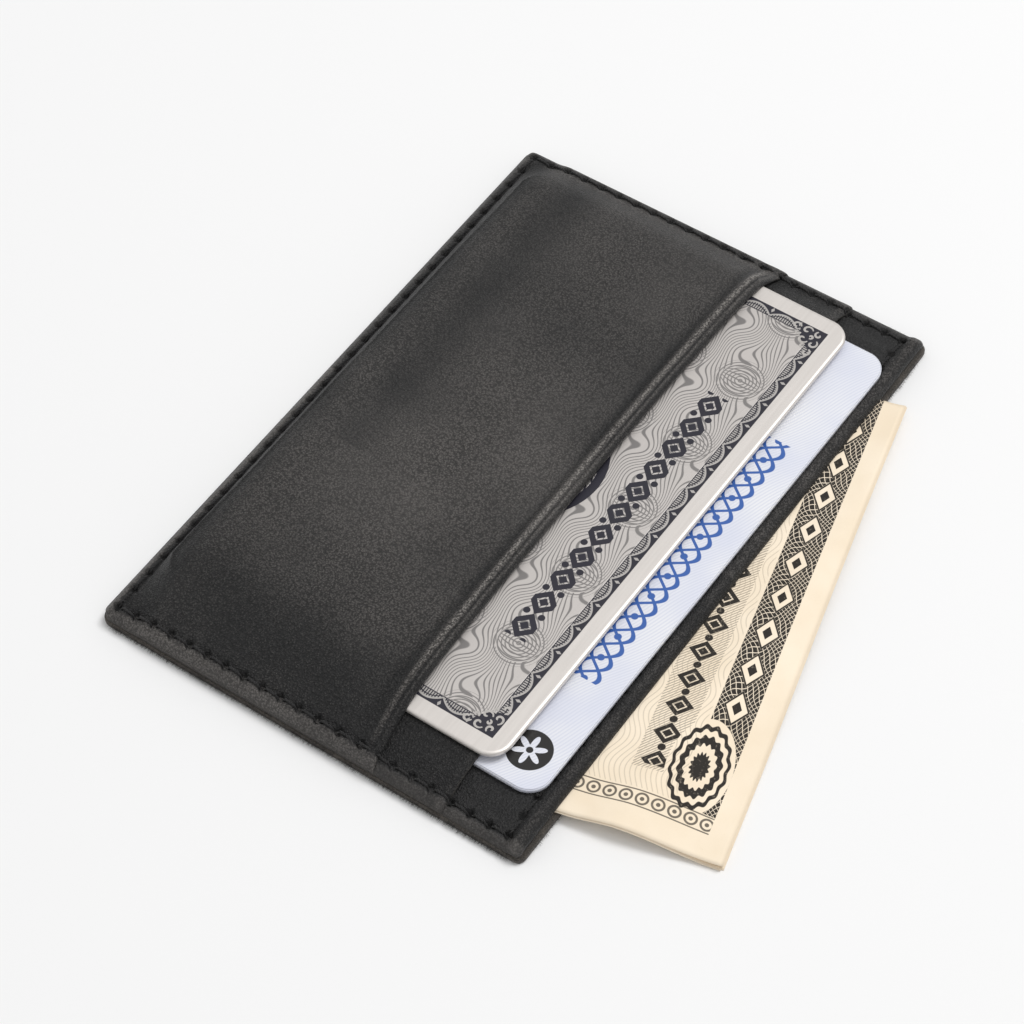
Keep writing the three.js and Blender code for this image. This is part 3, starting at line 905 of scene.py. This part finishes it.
def strip_tone(u, x, y, seed):
    """Tone of the narrow strips beside the cards, darker on the +X side, and of the burnished outer
    margin.
    """
    margin = 1 - between(side_inset(u), 1.0, 1.9)
    tone = np.where(x > 0, -0.26, 0.0)
    return tone + 0.14 * value_noise(x, y, 4.0, seed) + margin * (0.34 + 0.42 * (x > 0))


def cut_edge(distance):
    return 1 - between(distance, 0.02, 0.16)


def make_front_panel(material):
    def attributes(u, v, x, y):
        from_head = HEAD - v
        # Painted highlight along the crest of the turned head edge.
        wear = strip_tone(u, x, y, 41) + 0.60 * bell(from_head - 1.1, 0.7)
        crease = 0.35 + 0.3 * between(v, HEAD - 3.5, HEAD - 1.0)
        cut = cut_edge(np.minimum(side_inset(u), base_inset(v)))
        _, head_holes = row_marks(from_head - HEAD_ROW_INSET, u + ROW_X, PITCH_ALONG)
        hole = np.maximum(seam_marks(u, v)[1], head_holes * (side_inset(u) > SEAM_INSET - 0.5))
        crease = crease * (1 - burnished(side_inset(u)))
        return {"wear": wear, "crease": crease, "cut": cut * 0.7, "hole": (hole, 0 * u)}

    nose_lines = np.array([1.3, 1.05, 0.85, 0.72, 0.58, 0.44, 0.3, 0.18, 0.09, 0.03, 0])
    rows = lines_up(BASE, HEAD, EDGE_LINES, nose_lines, coarse_below=INNER_MOUTH - 1)
    place = round_corners(BASE, HEAD, inset=PLY_INSET)
    piece = sheet("front_leather", lines_across(), rows, place, front_top, front_bottom, attributes,
                  material)
    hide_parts("front_panel")


# Inner pocket.

def inner_margin(u):
    """Underside where the pocket lies flat on the front panel."""
    share = between(side_inset(u), *SHOULDER)
    return INNER_SEAM + (FRONT_OPEN + FRONT_PLY + PLY_GAP - INNER_SEAM) * share


def inner_over(u, v, x, y):
    base_wall = between(base_inset(v), 9.2, 10.3)
    return rise_over(identity_centre, u, v + 40, x, np.maximum(y, identity_low[1] + 4), 2.7) * base_wall


def inner_bottom(u, v, x, y):
    under = inner_margin(u) + (INNER_OPEN - inner_margin(u)) * inner_over(u, v, x, y)
    return pressed(under, u, BASE + 40) + worn_edge(INNER_MOUTH - v, 0.25)


def inner_top(u, v, x, y):
    rise = inner_over(u, v, x, y)
    under = inner_margin(u) + (INNER_OPEN - inner_margin(u)) * rise
    z = under + INNER_SEAM_PLY + (INNER_PLY - INNER_SEAM_PLY) * rise
    uncovered = between(v, OUTER_MOUTH - 0.2, OUTER_MOUTH + 0.4)
    z = z - seam_cut(u, v) * uncovered + 0.10 * bell(INNER_MOUTH - v - 0.9, 0.6) * uncovered
    z = pressed(z, u, BASE + 40) + gentle(x, y, 17) * uncovered * between(side_inset(u), 2.5, 5)
    z = soft_min(z, metal_low[2] - CARD_AIR, 0.02)
    return z - worn_edge(side_inset(u), ROLL * 0.9) - worn_edge(INNER_MOUTH - v, 0.34)


def inner_place(u, v):
    return u - np.sign(u) * PLY_INSET * (1 - between(side_inset(u), 0, 1.4)), v


def make_inner_pocket(material):
    low = inner_low[1]

    def attributes(u, v, x, y):
        to_mouth = INNER_MOUTH - v
        # Painted highlight along the crest just behind the inner pocket's mouth.
        wear = strip_tone(u, x, y, 51) + 0.45 * bell(to_mouth - 0.8, 0.5)
        cut = np.maximum(cut_edge(side_inset(u)) * 0.7, cut_edge(np.minimum(to_mouth, v - low)) * 0.6)
        crease = 0.7 * (1 - burnished(side_inset(u)))
        return {"wear": wear, "crease": crease, "cut": cut, "hole": (seam_marks(u, v)[1], 0 * u)}

    rows = lines_up(low, INNER_MOUTH, EDGE_LINES[:6], EDGE_LINES[::-1], coarse_below=OUTER_MOUTH - 1)
    piece = sheet("inner_leather", lines_across(), rows, inner_place, inner_top, inner_bottom,
                  attributes, material)
    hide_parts("inner_pocket")


# Outer pocket.

STRETCHED_PLY = 0.44  # thickness of the outer pocket over the card's rim
THINNEST = 0.25
DRAPE = 1.7  # reach of the averaging that softens the ply's folds
LIP_NOSE = 0.75  # radius of the turned mouth
STEP_UP = (5.0, 7.8)  # base insets between which the seam climbs onto the inner pocket


def outer_seam(v):
    share = np.clip((base_inset(v) - STEP_UP[0]) / (STEP_UP[1] - STEP_UP[0]), 0, 1)
    return INNER_SEAM + (OUTER_SEAM - INNER_SEAM) * smooth(share)


def to_mouth(v):
    return OUTER_MOUTH - v


def outer_bottom(u, v, x, y):
    rise = rise_over(metal_centre, u, v, x, y, 2.75)
    under = outer_seam(v) + (OUTER_OPEN - outer_seam(v)) * rise
    lift = worn_edge(to_mouth(v), LIP_NOSE) * (0.35 + 0.65 * rise)
    seam_edge = worn_edge(np.minimum(side_inset(u), base_inset(v)), 0.25)
    return pressed(under, u, v) + np.maximum(lift, seam_edge)


def outer_tented(u, v, x, y):
    """Outside of the ply, stretched thin over the card's rim and swelling to a low cushion inside it."""
    rise = rise_over(metal_centre, u, v, x, y, 2.5)
    inside = np.maximum(-card_outside(metal_centre, x, y), 0)
    over_card = STRETCHED_PLY + (OUTER_PLY + 0.38 - STRETCHED_PLY) * (1 - np.exp(-inside / 2.8))
    over_card = over_card - 0.12 * between(inside, 7, 20)
    z = outer_seam(v) + (OUTER_OPEN - outer_seam(v)) * rise
    return z + OUTER_SEAM_PLY * (1 - rise) + over_card * rise


def outer_draped(u, v, x, y):
    """The tented ply with its folds softened by averaging over a ring round each point."""
    tented = outer_tented(u, v, x, y)
    around = 0
    for reach in (0.5 * DRAPE, DRAPE):
        for k in range(8):
            dx, dy = reach * math.cos(k * math.pi / 4), reach * math.sin(k * math.pi / 4)
            around = around + outer_tented(u + dx, v + dy, x + dx, y + dy) / 16
    share = between(soft_min(side_inset(u), base_inset(v), 0.8), 2.3, 4.0)
    return tented + (around - tented) * share


def outer_top(u, v, x, y):
    rise = rise_over(metal_centre, u, v, x, y, 2.5)
    under = outer_seam(v) + (OUTER_OPEN - outer_seam(v)) * rise_over(metal_centre, u, v, x, y, 2.75)
    z = -soft_min(-outer_draped(u, v, x, y), -(under + THINNEST), 0.05)

    # Turned lip: a full crest, a valley behind it and a faint second fold.
    m = to_mouth(v)
    swell = 0.52 * bell(m - 1.65, 0.8) + 0.40 * (1 - between(m, 0.7, 1.5)) * bell(m, 1.6)
    swell = swell - 0.14 * bell(m - 1.0, 0.2)
    valley = -0.20 * bell(m - 3.1, 0.6) + 0.10 * bell(m - 4.2, 0.7)
    z = z + (swell + valley) * (0.12 + 0.88 * rise)
    z = z - seam_cut(u, v)
    z = pressed(z, u, v) + gentle(x, y, 27) * between(side_inset(u), 2.5, 5) * between(m, 0.5, 3)
    z = soft_min(z, LIP_TOP + 0.1, 0.06)
    z = z - worn_edge(m, LIP_NOSE) * (0.35 + 0.65 * rise)
    return z - worn_edge(np.minimum(side_inset(u), base_inset(v)), ROLL)


def outer_place(u, v):
    corners = round_corners(BASE, OUTER_MOUTH + 20, inset=PLY_INSET)
    x, y = corners(u, v)
    sweep = MOUTH_SWEEP * np.abs(x / HALF_WIDTH) ** 3
    return x, y + sweep * between(v, 0, OUTER_MOUTH)


def make_outer_pocket(material):
    def attributes(u, v, x, y):
        from_side, from_base = side_inset(u), base_inset(v)
        inset = np.minimum(from_side, from_base)
        m = to_mouth(v)
        centre = np.exp(-(((x - 10) / 34) ** 2) - (((y + 10) / 17) ** 2))
        margin = burnished(inset)
        wear = 0.39 + 0.44 * centre + margin * (0.10 + 0.62 * (x > 0))
        # Painted shade on the slope up from the base seam and in a hollow further in, a painted highlight
        # on the crest between, painted shade towards the +X end where the ply slopes away from the light
        # and at the foot of the base slope, and a painted highlight along the -X side just inside the
        # stitches.
        wear = wear - 0.55 * bell(from_base - 3.8, 2.4) * (1 - 0.3 * between(x, -40, -5)) * (1 - margin)
        wear = wear + 0.12 * bell(from_base - 7.6, 1.8) - 0.30 * bell(from_base - 13, 3.5) * (x < 12)
        wear = wear - 0.34 * between(x, 33, 40) * (1 - margin)
        wear = wear - 0.25 * bell(from_base - 2.8, 1.0) + 0.35 * bell(from_side - 3.0, 0.8) * (x < 0)
        # Painted highlights on the lip's crest and its rounded nose, painted shade on the fold between
        # them, in the valley behind the crest and where the edge turns under.
        lip_painted_light = 1.7 * bell(m - 1.65, 0.36) - 0.5 * bell(m - 1.05, 0.18) + 0.6 * bell(m - 0.62, 0.16)
        lip_painted_light = lip_painted_light - 0.40 * bell(m - 2.9, 0.7) - 0.45 * bell(m - 0.1, 0.35)
        wear = wear + lip_painted_light * between(from_side, 1.0, 6.0) * (1 - 0.5 * between(x, 30, 42))
        wear = wear + 0.12 * value_noise(x, y, 7.0, 61) + 0.16 * value_noise(x, y, 19.0, 64)
        pebbled = 0.5 * between(x, 14, 40) + 0.35 * (1 - between(from_base, 4, 14))
        crease = np.clip(0.34 + pebbled + 0.15 * value_noise(x, y, 8.0, 63), 0, 1) * (1 - 0.8 * margin)
        hole = seam_marks(u, v)[1]
        return {"wear": wear, "crease": crease, "cut": cut_edge(inset) * 0.6, "hole": (hole, 0 * u)}

    rows = lines_up(BASE, OUTER_MOUTH, EDGE_LINES, LIP_LINES)
    piece = sheet("outer_leather", lines_across(), rows, outer_place, outer_top, outer_bottom,
                  attributes, material)
    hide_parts("outer_pocket")


# ---------------------------------------------------------------- stitches

THREAD_RADIUS = 0.12  # of one of the two strands
THREAD_SPREAD = 0.10  # from the thread's axis to a strand's
THREAD_TWIST = 0.9  # length of one full twist
STRAND_SIDES = 6
STITCH_RINGS = 17


def strand(path, side, up, phase, lengths):
    """One strand of a two-ply thread round a path: rings of points, and closed faces."""
    turn = phase + 2 * math.pi * lengths / THREAD_TWIST
    centre = path + THREAD_SPREAD * (np.cos(turn)[:, None] * side + np.sin(turn)[:, None] * up)
    angles = np.arange(STRAND_SIDES) * 2 * math.pi / STRAND_SIDES
    ring = np.cos(angles)[None, :, None] * side[:, None] + np.sin(angles)[None, :, None] * up[:, None]
    points = (centre[:, None] + THREAD_RADIUS * ring).reshape(-1, 3)
    return points, tube_faces(len(path), STRAND_SIDES)


def stitch_mesh(holes, height, outward):
    """Stitches between neighbouring holes. height(x, y) is the leather, and outward is 1 or -1."""
    strands = []
    t = np.linspace(0, 1, STITCH_RINGS)
    for index, (p, q) in enumerate(zip(holes, holes[1:])):
        p, q = np.array(p, float), np.array(q, float)
        length = np.linalg.norm(q - p)
        if length < 0.5:
            continue
        along = (q - p) / length
        across = np.array([-along[1], along[0]])
        slant = 0.14 * (1 - 2 * t)[:, None] * across
        flat = p + (q - p) * t[:, None] + slant
        ends = np.minimum(t, 1 - t) * length
        dive = 0.95 * (1 - between(ends, 0.0, 0.70))
        ground = height(flat[:, 0], flat[:, 1])
        level = np.median(ground[4:-4]) * 0.6 + ground * 0.4
        z = level + outward * (0.13 - dive)
        path = np.column_stack([flat, z])
        tangent = np.gradient(path, axis=0)
        tangent /= np.linalg.norm(tangent, axis=1)[:, None]
        side = np.column_stack([np.tile(across, (len(t), 1)), np.zeros(len(t))])
        up = np.cross(tangent, side)
        lengths = t * length + index * 0.37
        for phase in (0.0, math.pi):
            strands.append(strand(path, side, up, phase, lengths))
    return joined(strands)


def evenly(start, end, count):
    start, end = np.array(start, float), np.array(end, float)
    return [tuple(start + (end - start) * k / count) for k in range(count + 1)]


def seam_holes():
    left = evenly((-ROW_X, ROW_HEAD), (-ROW_X, ROW_BASE), STITCHES_UP)
    base = evenly((-ROW_X, ROW_BASE), (ROW_X, ROW_BASE), STITCHES_ALONG)
    right = evenly((ROW_X, ROW_BASE), (ROW_X, ROW_HEAD), STITCHES_UP)
    return left + base[1:] + right[1:]


def seam_surface(x, y):
    """Top of the sewn leather on the seam rows."""
    mouth = OUTER_MOUTH + MOUTH_SWEEP
    z = np.where(y < mouth, outer_top(x, np.minimum(y, mouth - 2.5), x, y), inner_top(x, y, x, y))
    return np.where(y < INNER_MOUTH + 0.1, z, front_top(x, y, x, y))


def head_surface(x, y):
    return front_top(x, y, x, y)


def make_stitches(material):
    head_row = evenly((-ROW_X, ROW_HEAD), (ROW_X, ROW_HEAD), STITCHES_ALONG)
    pocket_y = BASE + 9.1
    pocket_row = evenly((-ROW_X + 5.6, pocket_y), (ROW_X - 5.6, pocket_y), STITCHES_ALONG - 3)

    def level(z):
        return lambda x, y: z + 0 * x

    over_front = level(FRONT_OPEN + FRONT_PLY + 0.62)
    rows = [
        ("seam_top_stitches", "seam_needle_thread", seam_holes(), seam_surface, 1),
        ("seam_back_stitches", "seam_bobbin_thread", seam_holes(), level(0.30), -1),
        ("head_top_stitches", "head_needle_thread", head_row, head_surface, 1),
        ("head_under_stitches", "head_bobbin_thread", head_row[2:-2], level(FRONT_OPEN + 0.25), -1),
        ("pocket_top_stitches", "pocket_needle_thread", pocket_row, over_front, 1),
        ("pocket_under_stitches", "pocket_bobbin_thread", pocket_row, level(FRONT_OPEN + 0.25), -1),
    ]
    for name, node, holes, height, outward in rows:
        vertices, faces = stitch_mesh(holes, height, outward)
        piece = mesh_object(name, vertices, faces, material, "holder")
        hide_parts(node)


# ---------------------------------------------------------------- loose fibres of the back ply

FIBRE_ROOT, FIBRE_MIDDLE = 0.017, 0.013  # radii
FIBRES_PER_SIDE = ((1, 0, 2600), (-1, 0, 600), (0, -1, 900), (0, 1, 1300))  # outward direction and count


def make_fibres(material):
    """Short loose fibres standing out of the back ply's cut edges."""
    rng = np.random.default_rng(5)
    vertices, faces = [], []
    for out_x, out_y, count in FIBRES_PER_SIDE:
        out, across = np.array([out_x, out_y, 0.0]), np.array([out_y, out_x, 0.0])
        for _ in range(count):
            share = rng.uniform(0.03, 0.97)
            if out_x:
                root = (HALF_WIDTH * out_x, BASE + (BACK_HEAD - BASE) * share, 0)
            else:
                root = (HALF_WIDTH * (2 * share - 1), BACK_HEAD if out_y > 0 else BASE, 0)
            length = rng.uniform(0.15, 0.65)
            lean = rng.uniform(-1.0, 1.0)
            start = np.array(root) - 0.12 * out
            start[2] = rng.uniform(0.3, BACK_TOP - 0.25)
            middle = start + (out + lean * across * 0.5) * length * 0.7
            tip = middle + (out + lean * across + np.array([0, 0, -0.6])) * length * 0.35
            tip[2] = max(tip[2], 0.04)
            first = len(vertices)
            for point, radius in ((start, FIBRE_ROOT), (middle, FIBRE_MIDDLE)):
                for k in range(3):
                    a = 2 * math.pi * k / 3
                    aside = math.cos(a) * across + np.array([0, 0, math.sin(a)])
                    vertices.append(point + radius * aside)
            vertices.append(tip)
            faces.append([first, first + 2, first + 1])
            for k in range(3):
                j = (k + 1) % 3
                faces.append([first + k, first + j, first + 3 + j, first + 3 + k])
                faces.append([first + 3 + k, first + 3 + j, first + 6])
    mesh_object("back_edge_fibres", vertices, faces, material, "holder")


# ---------------------------------------------------------------- cards

CORNER_STEPS = 16


def card_mesh(size, radius, thickness, bevel, bevel_drop):
    """Points and faces of a card: rounded outlines from its back face to its front face."""
    profile = [
        (bevel * 0.6, 0.0), (0.08, bevel_drop * 0.25), (0.0, bevel_drop * 0.8),
        (0.0, thickness - bevel_drop * 1.1), (0.05, thickness - bevel_drop * 0.55),
        (0.16, thickness - bevel_drop * 0.2), (bevel, thickness), (bevel + 0.12, thickness),
    ]
    corners = [(1, 1, 0), (-1, 1, 90), (-1, -1, 180), (1, -1, 270)]
    points = []
    for inset, z in profile:
        for sx, sy, start in corners:
            cx, cy = sx * (size[0] / 2 - radius), sy * (size[1] / 2 - radius)
            reach = radius - inset
            for step in range(CORNER_STEPS + 1):
                a = math.radians(start + 90 * step / CORNER_STEPS)
                points.append((cx + reach * math.cos(a), cy + reach * math.sin(a), z))
    return points, tube_faces(len(profile), len(corners) * (CORNER_STEPS + 1))


def make_card(name, node, body, low, high, bevel, bevel_drop, material):
    centre = (low + high) / 2
    vertices, faces = card_mesh(CARD_SIZE, CARD_RADIUS, high[2] - low[2], bevel, bevel_drop)
    origin = (centre[0], centre[1], low[2])
    piece = mesh_object(name, vertices, faces, material, body, origin, CARD_TURN)
    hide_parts(node)


def spiral(centre, radius, start, turns, hand):
    """A scroll that winds outwards from its centre."""
    t = np.linspace(0, 1, 26)
    angle = start + hand * turns * 2 * math.pi * t
    reach = radius * (0.18 + 0.82 * t)
    return np.column_stack([centre[0] + reach * np.cos(angle), centre[1] + reach * np.sin(angle)])


def ribbon(points, width, low, high):
    """A closed flat band along points, tapering to its ends."""
    points = np.asarray(points, float)
    along = np.gradient(points, axis=0)
    along /= np.linalg.norm(along, axis=1)[:, None]
    across = np.column_stack([-along[:, 1], along[:, 0]])
    share = np.linspace(0, 1, len(points))
    half = width / 2 * (0.35 + 0.65 * np.sin(math.pi * np.clip(share, 0.04, 0.96)) ** 0.5)
    left, right = points + across * half[:, None], points - across * half[:, None]
    vertices = []
    for k in range(len(points)):
        vertices += [(*left[k], high), (*right[k], high), (*right[k], low), (*left[k], low)]
    return vertices, tube_faces(len(points), 4)


def make_scrolls(material):
    """Light scrollwork in the four corners of the metal card's band."""
    reach_x = CARD_SIZE[0] / 2 - METAL_MARGIN
    reach_y = CARD_SIZE[1] / 2 - METAL_MARGIN
    thickness = metal_high[2] - metal_low[2]
    ribbons = []
    for sx in (1, -1):
        for sy in (1, -1):
            scrolls = [
                spiral((0.95, 0.95), 0.62, 3.9, 0.8, 1),
                spiral((2.75, 0.95), 0.80, 2.6, 0.85, -1),
                spiral((0.95, 2.75), 0.80, -1.0, 0.85, 1),
                spiral((2.55, 2.55), 0.80, 3.9, 0.85, -1),
                spiral((4.5, 0.95), 0.70, 2.4, 0.85, -1),
                spiral((0.95, 4.5), 0.70, -0.8, 0.85, 1),
                spiral((1.75, 1.75), 0.38, 0.8, 0.9, 1),
                spiral((3.75, 1.9), 0.42, 4.2, 0.9, 1),
                spiral((1.9, 3.75), 0.42, 3.7, 0.9, -1),
            ]
            for scroll in scrolls:
                points = np.column_stack([sx * (reach_x - scroll[:, 0]), sy * (reach_y - scroll[:, 1])])
                if sx * sy < 0:
                    points = points[::-1]
                ribbons.append(ribbon(points, 0.34, thickness - 0.02, thickness + 0.012))
    vertices, faces = joined(ribbons)
    mesh_object(
        "metal_card_scrolls", vertices, faces, material, "metal_card",
        (metal_centre[0], metal_centre[1], metal_low[2]), CARD_TURN, flat=True,
    )


# ---------------------------------------------------------------- folded note

NOTE_LAYERS = 4
NOTE_SHORT = 0.6  # the note's folds end this far short of the CAD's block
PAPER = 0.085
LAYER_STEP = 0.1
NOTE_ARCH = 0.8  # how far the note springs up between the pocket and the table
NOTE_CORNER_FAN = 0.16  # extra height between layers at the loose corner


def note_height(u, v):
    """Underside of the note's lowest layer. It lies in the pocket and droops to the table outside."""
    c, s = math.cos(NOTE_TURN), math.sin(NOTE_TURN)
    y = note_centre[1] + u * s + v * c
    outside = y - back_high[1]
    droop = between(outside, 6.0, 19.0)
    z = note_low[2] * (1 - droop) + 0.12 * droop
    arch = NOTE_ARCH * between(outside, 0.5, 7.0) * (1 - between(outside, 8.0, 19.5))
    wave = 0.10 * np.sin(u / 6.5 + v / 9.0) * between(outside, 3, 9)
    return z + arch + np.maximum(wave, -z + 0.06)


def note_layer(index):
    """One of the note's layers as a closed sheet in the note's own frame, with its attributes."""
    shift_x = (-0.10, 0.18, -0.22, 0.0)[index]
    shift_y = (0.22, -0.12, 0.10, 0.0)[index]
    half_x, half_y = NOTE_SIZE[0] / 2, NOTE_SIZE[1] / 2
    end, edge = half_x - NOTE_SHORT + shift_x, half_y + shift_y
    u, v = np.meshgrid(np.linspace(-half_x, end, 118), np.linspace(-half_y, edge, 52))
    corner = between(u, half_x - 14, half_x) * between(v, half_y - 12, half_y)
    tip = between(u, half_x - 5, half_x) * between(v, half_y - 6, half_y)
    curl = 0.55 * tip * (NOTE_LAYERS - 1 - index)
    lower = note_height(u, v) + index * (LAYER_STEP + NOTE_CORNER_FAN * corner)
    lower = np.maximum(lower - 0.25 * curl, 0.02 + index * LAYER_STEP)
    upper = lower + PAPER
    up, across = u.shape
    layer = up * across
    top = fine_faces(across, up)
    faces = top + underside(top, layer) + rim_faces(across, up)
    vertices = np.concatenate([
        np.stack([u, v, upper], -1).reshape(-1, 3),
        np.stack([u, v, lower], -1).reshape(-1, 3),
    ])
    near_rim = np.minimum(half_x - np.abs(u), half_y - np.abs(v)) < 0.35
    face_up = np.r_[np.full(layer, float(index == NOTE_LAYERS - 1)), np.zeros(layer)]
    return vertices, faces, face_up, np.tile(near_rim.ravel().astype(float), 2)


def make_note(material):
    layers = [note_layer(index) for index in range(NOTE_LAYERS)]
    vertices, faces = joined([layer[:2] for layer in layers])
    piece = mesh_object(
        "folded_paper_note", vertices, faces, material, "folded_note",
        (note_centre[0], note_centre[1], 0), NOTE_TURN,
    )
    give_attribute(piece, "face", np.concatenate([layer[2] for layer in layers]))
    give_attribute(piece, "cut", np.concatenate([layer[3] for layer in layers]))
    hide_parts("folded_note")
    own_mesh(piece)


# ---------------------------------------------------------------- stage, light and camera

def make_floor():
    f = Finish("pale_floor")
    f.set(Base_Color=(0.90, 0.90, 0.90), Roughness=0.9, Specular_IOR_Level=0.1)
    reach = 6000.0
    vertices = [(-reach, -reach, 0), (reach, -reach, 0), (reach, reach, 0), (-reach, reach, 0)]
    mesh = bpy.data.meshes.new("floor")
    mesh.from_pydata((np.array(vertices) * MM).tolist(), [], [[0, 1, 2, 3]])
    mesh.materials.append(f.material)
    floor = bpy.data.objects.new("floor", mesh)
    bpy.context.scene.collection.objects.link(floor)


def direction(azimuth, elevation):
    """Unit vector at an azimuth from -Y towards +X and an elevation, in degrees."""
    a, e = math.radians(azimuth), math.radians(elevation)
    return Vector((math.sin(a) * math.cos(e), -math.cos(a) * math.cos(e), math.sin(e)))


def area_light(name, azimuth, elevation, distance, size, power):
    data = bpy.data.lights.new(name, "AREA")
    data.shape = "SQUARE"
    data.size = size
    data.energy = power
    light = bpy.data.objects.new(name, data)
    back = direction(azimuth, elevation)
    light.location = back * distance
    light.rotation_mode = "QUATERNION"
    light.rotation_quaternion = back.to_track_quat("Z", "Y")
    bpy.context.scene.collection.objects.link(light)


def make_light():
    world = bpy.data.worlds.new("studio")
    world.use_nodes = True
    background = world.node_tree.nodes["Background"]
    background.inputs["Color"].default_value = (1.0, 1.0, 1.0, 1)
    background.inputs["Strength"].default_value = 0.515
    bpy.context.scene.world = world
    area_light("key_softbox", azimuth=238, elevation=62, distance=1.6, size=0.67, power=13.4)
    area_light("overhead_softbox", azimuth=120, elevation=84, distance=1.1, size=0.9, power=1.4)


CAMERA_AZIMUTH = 125.70
CAMERA_ELEVATION = 52.77
CAMERA_ROLL = -1.52
CAMERA_DISTANCE = 427.9
CAMERA_LENS = 111.84
CAMERA_AIM = (5.17, 1.41, 0.0)  # where the camera's axis meets the floor


def make_camera():
    data = bpy.data.cameras.new("camera")
    data.lens = CAMERA_LENS
    data.sensor_width = 36
    data.clip_start = 0.01
    data.clip_end = 20
    camera = bpy.data.objects.new("camera", data)
    back = direction(CAMERA_AZIMUTH, CAMERA_ELEVATION)
    camera.location = (Vector(CAMERA_AIM) + back * CAMERA_DISTANCE) * MM
    aimed = back.to_track_quat("Z", "Y").to_matrix().to_4x4()
    rolled = aimed @ Matrix.Rotation(math.radians(CAMERA_ROLL), 4, "Z")
    camera.rotation_mode = "QUATERNION"
    camera.rotation_quaternion = rolled.to_quaternion()
    bpy.context.scene.collection.objects.link(camera)
    bpy.context.scene.camera = camera


# ---------------------------------------------------------------- everything

make_camera()
make_floor()
make_light()
bpy.context.scene.view_settings.view_transform = "Standard"

leather = leather_finish()
napped = flesh_finish()
make_back_panel(napped)
make_fibres(napped)
make_front_panel(leather)
make_inner_pocket(leather)
make_outer_pocket(leather)
make_stitches(thread_finish())
make_card("steel_card", "metal_card", "metal_card", metal_low, metal_high,
          bevel=0.42, bevel_drop=0.26, material=metal_finish())
make_scrolls(scroll_finish())
make_card("plastic_card", "identity_card", "identity_card", identity_low, identity_high,
          bevel=0.14, bevel_drop=0.12, material=identity_finish())
make_note(note_finish())
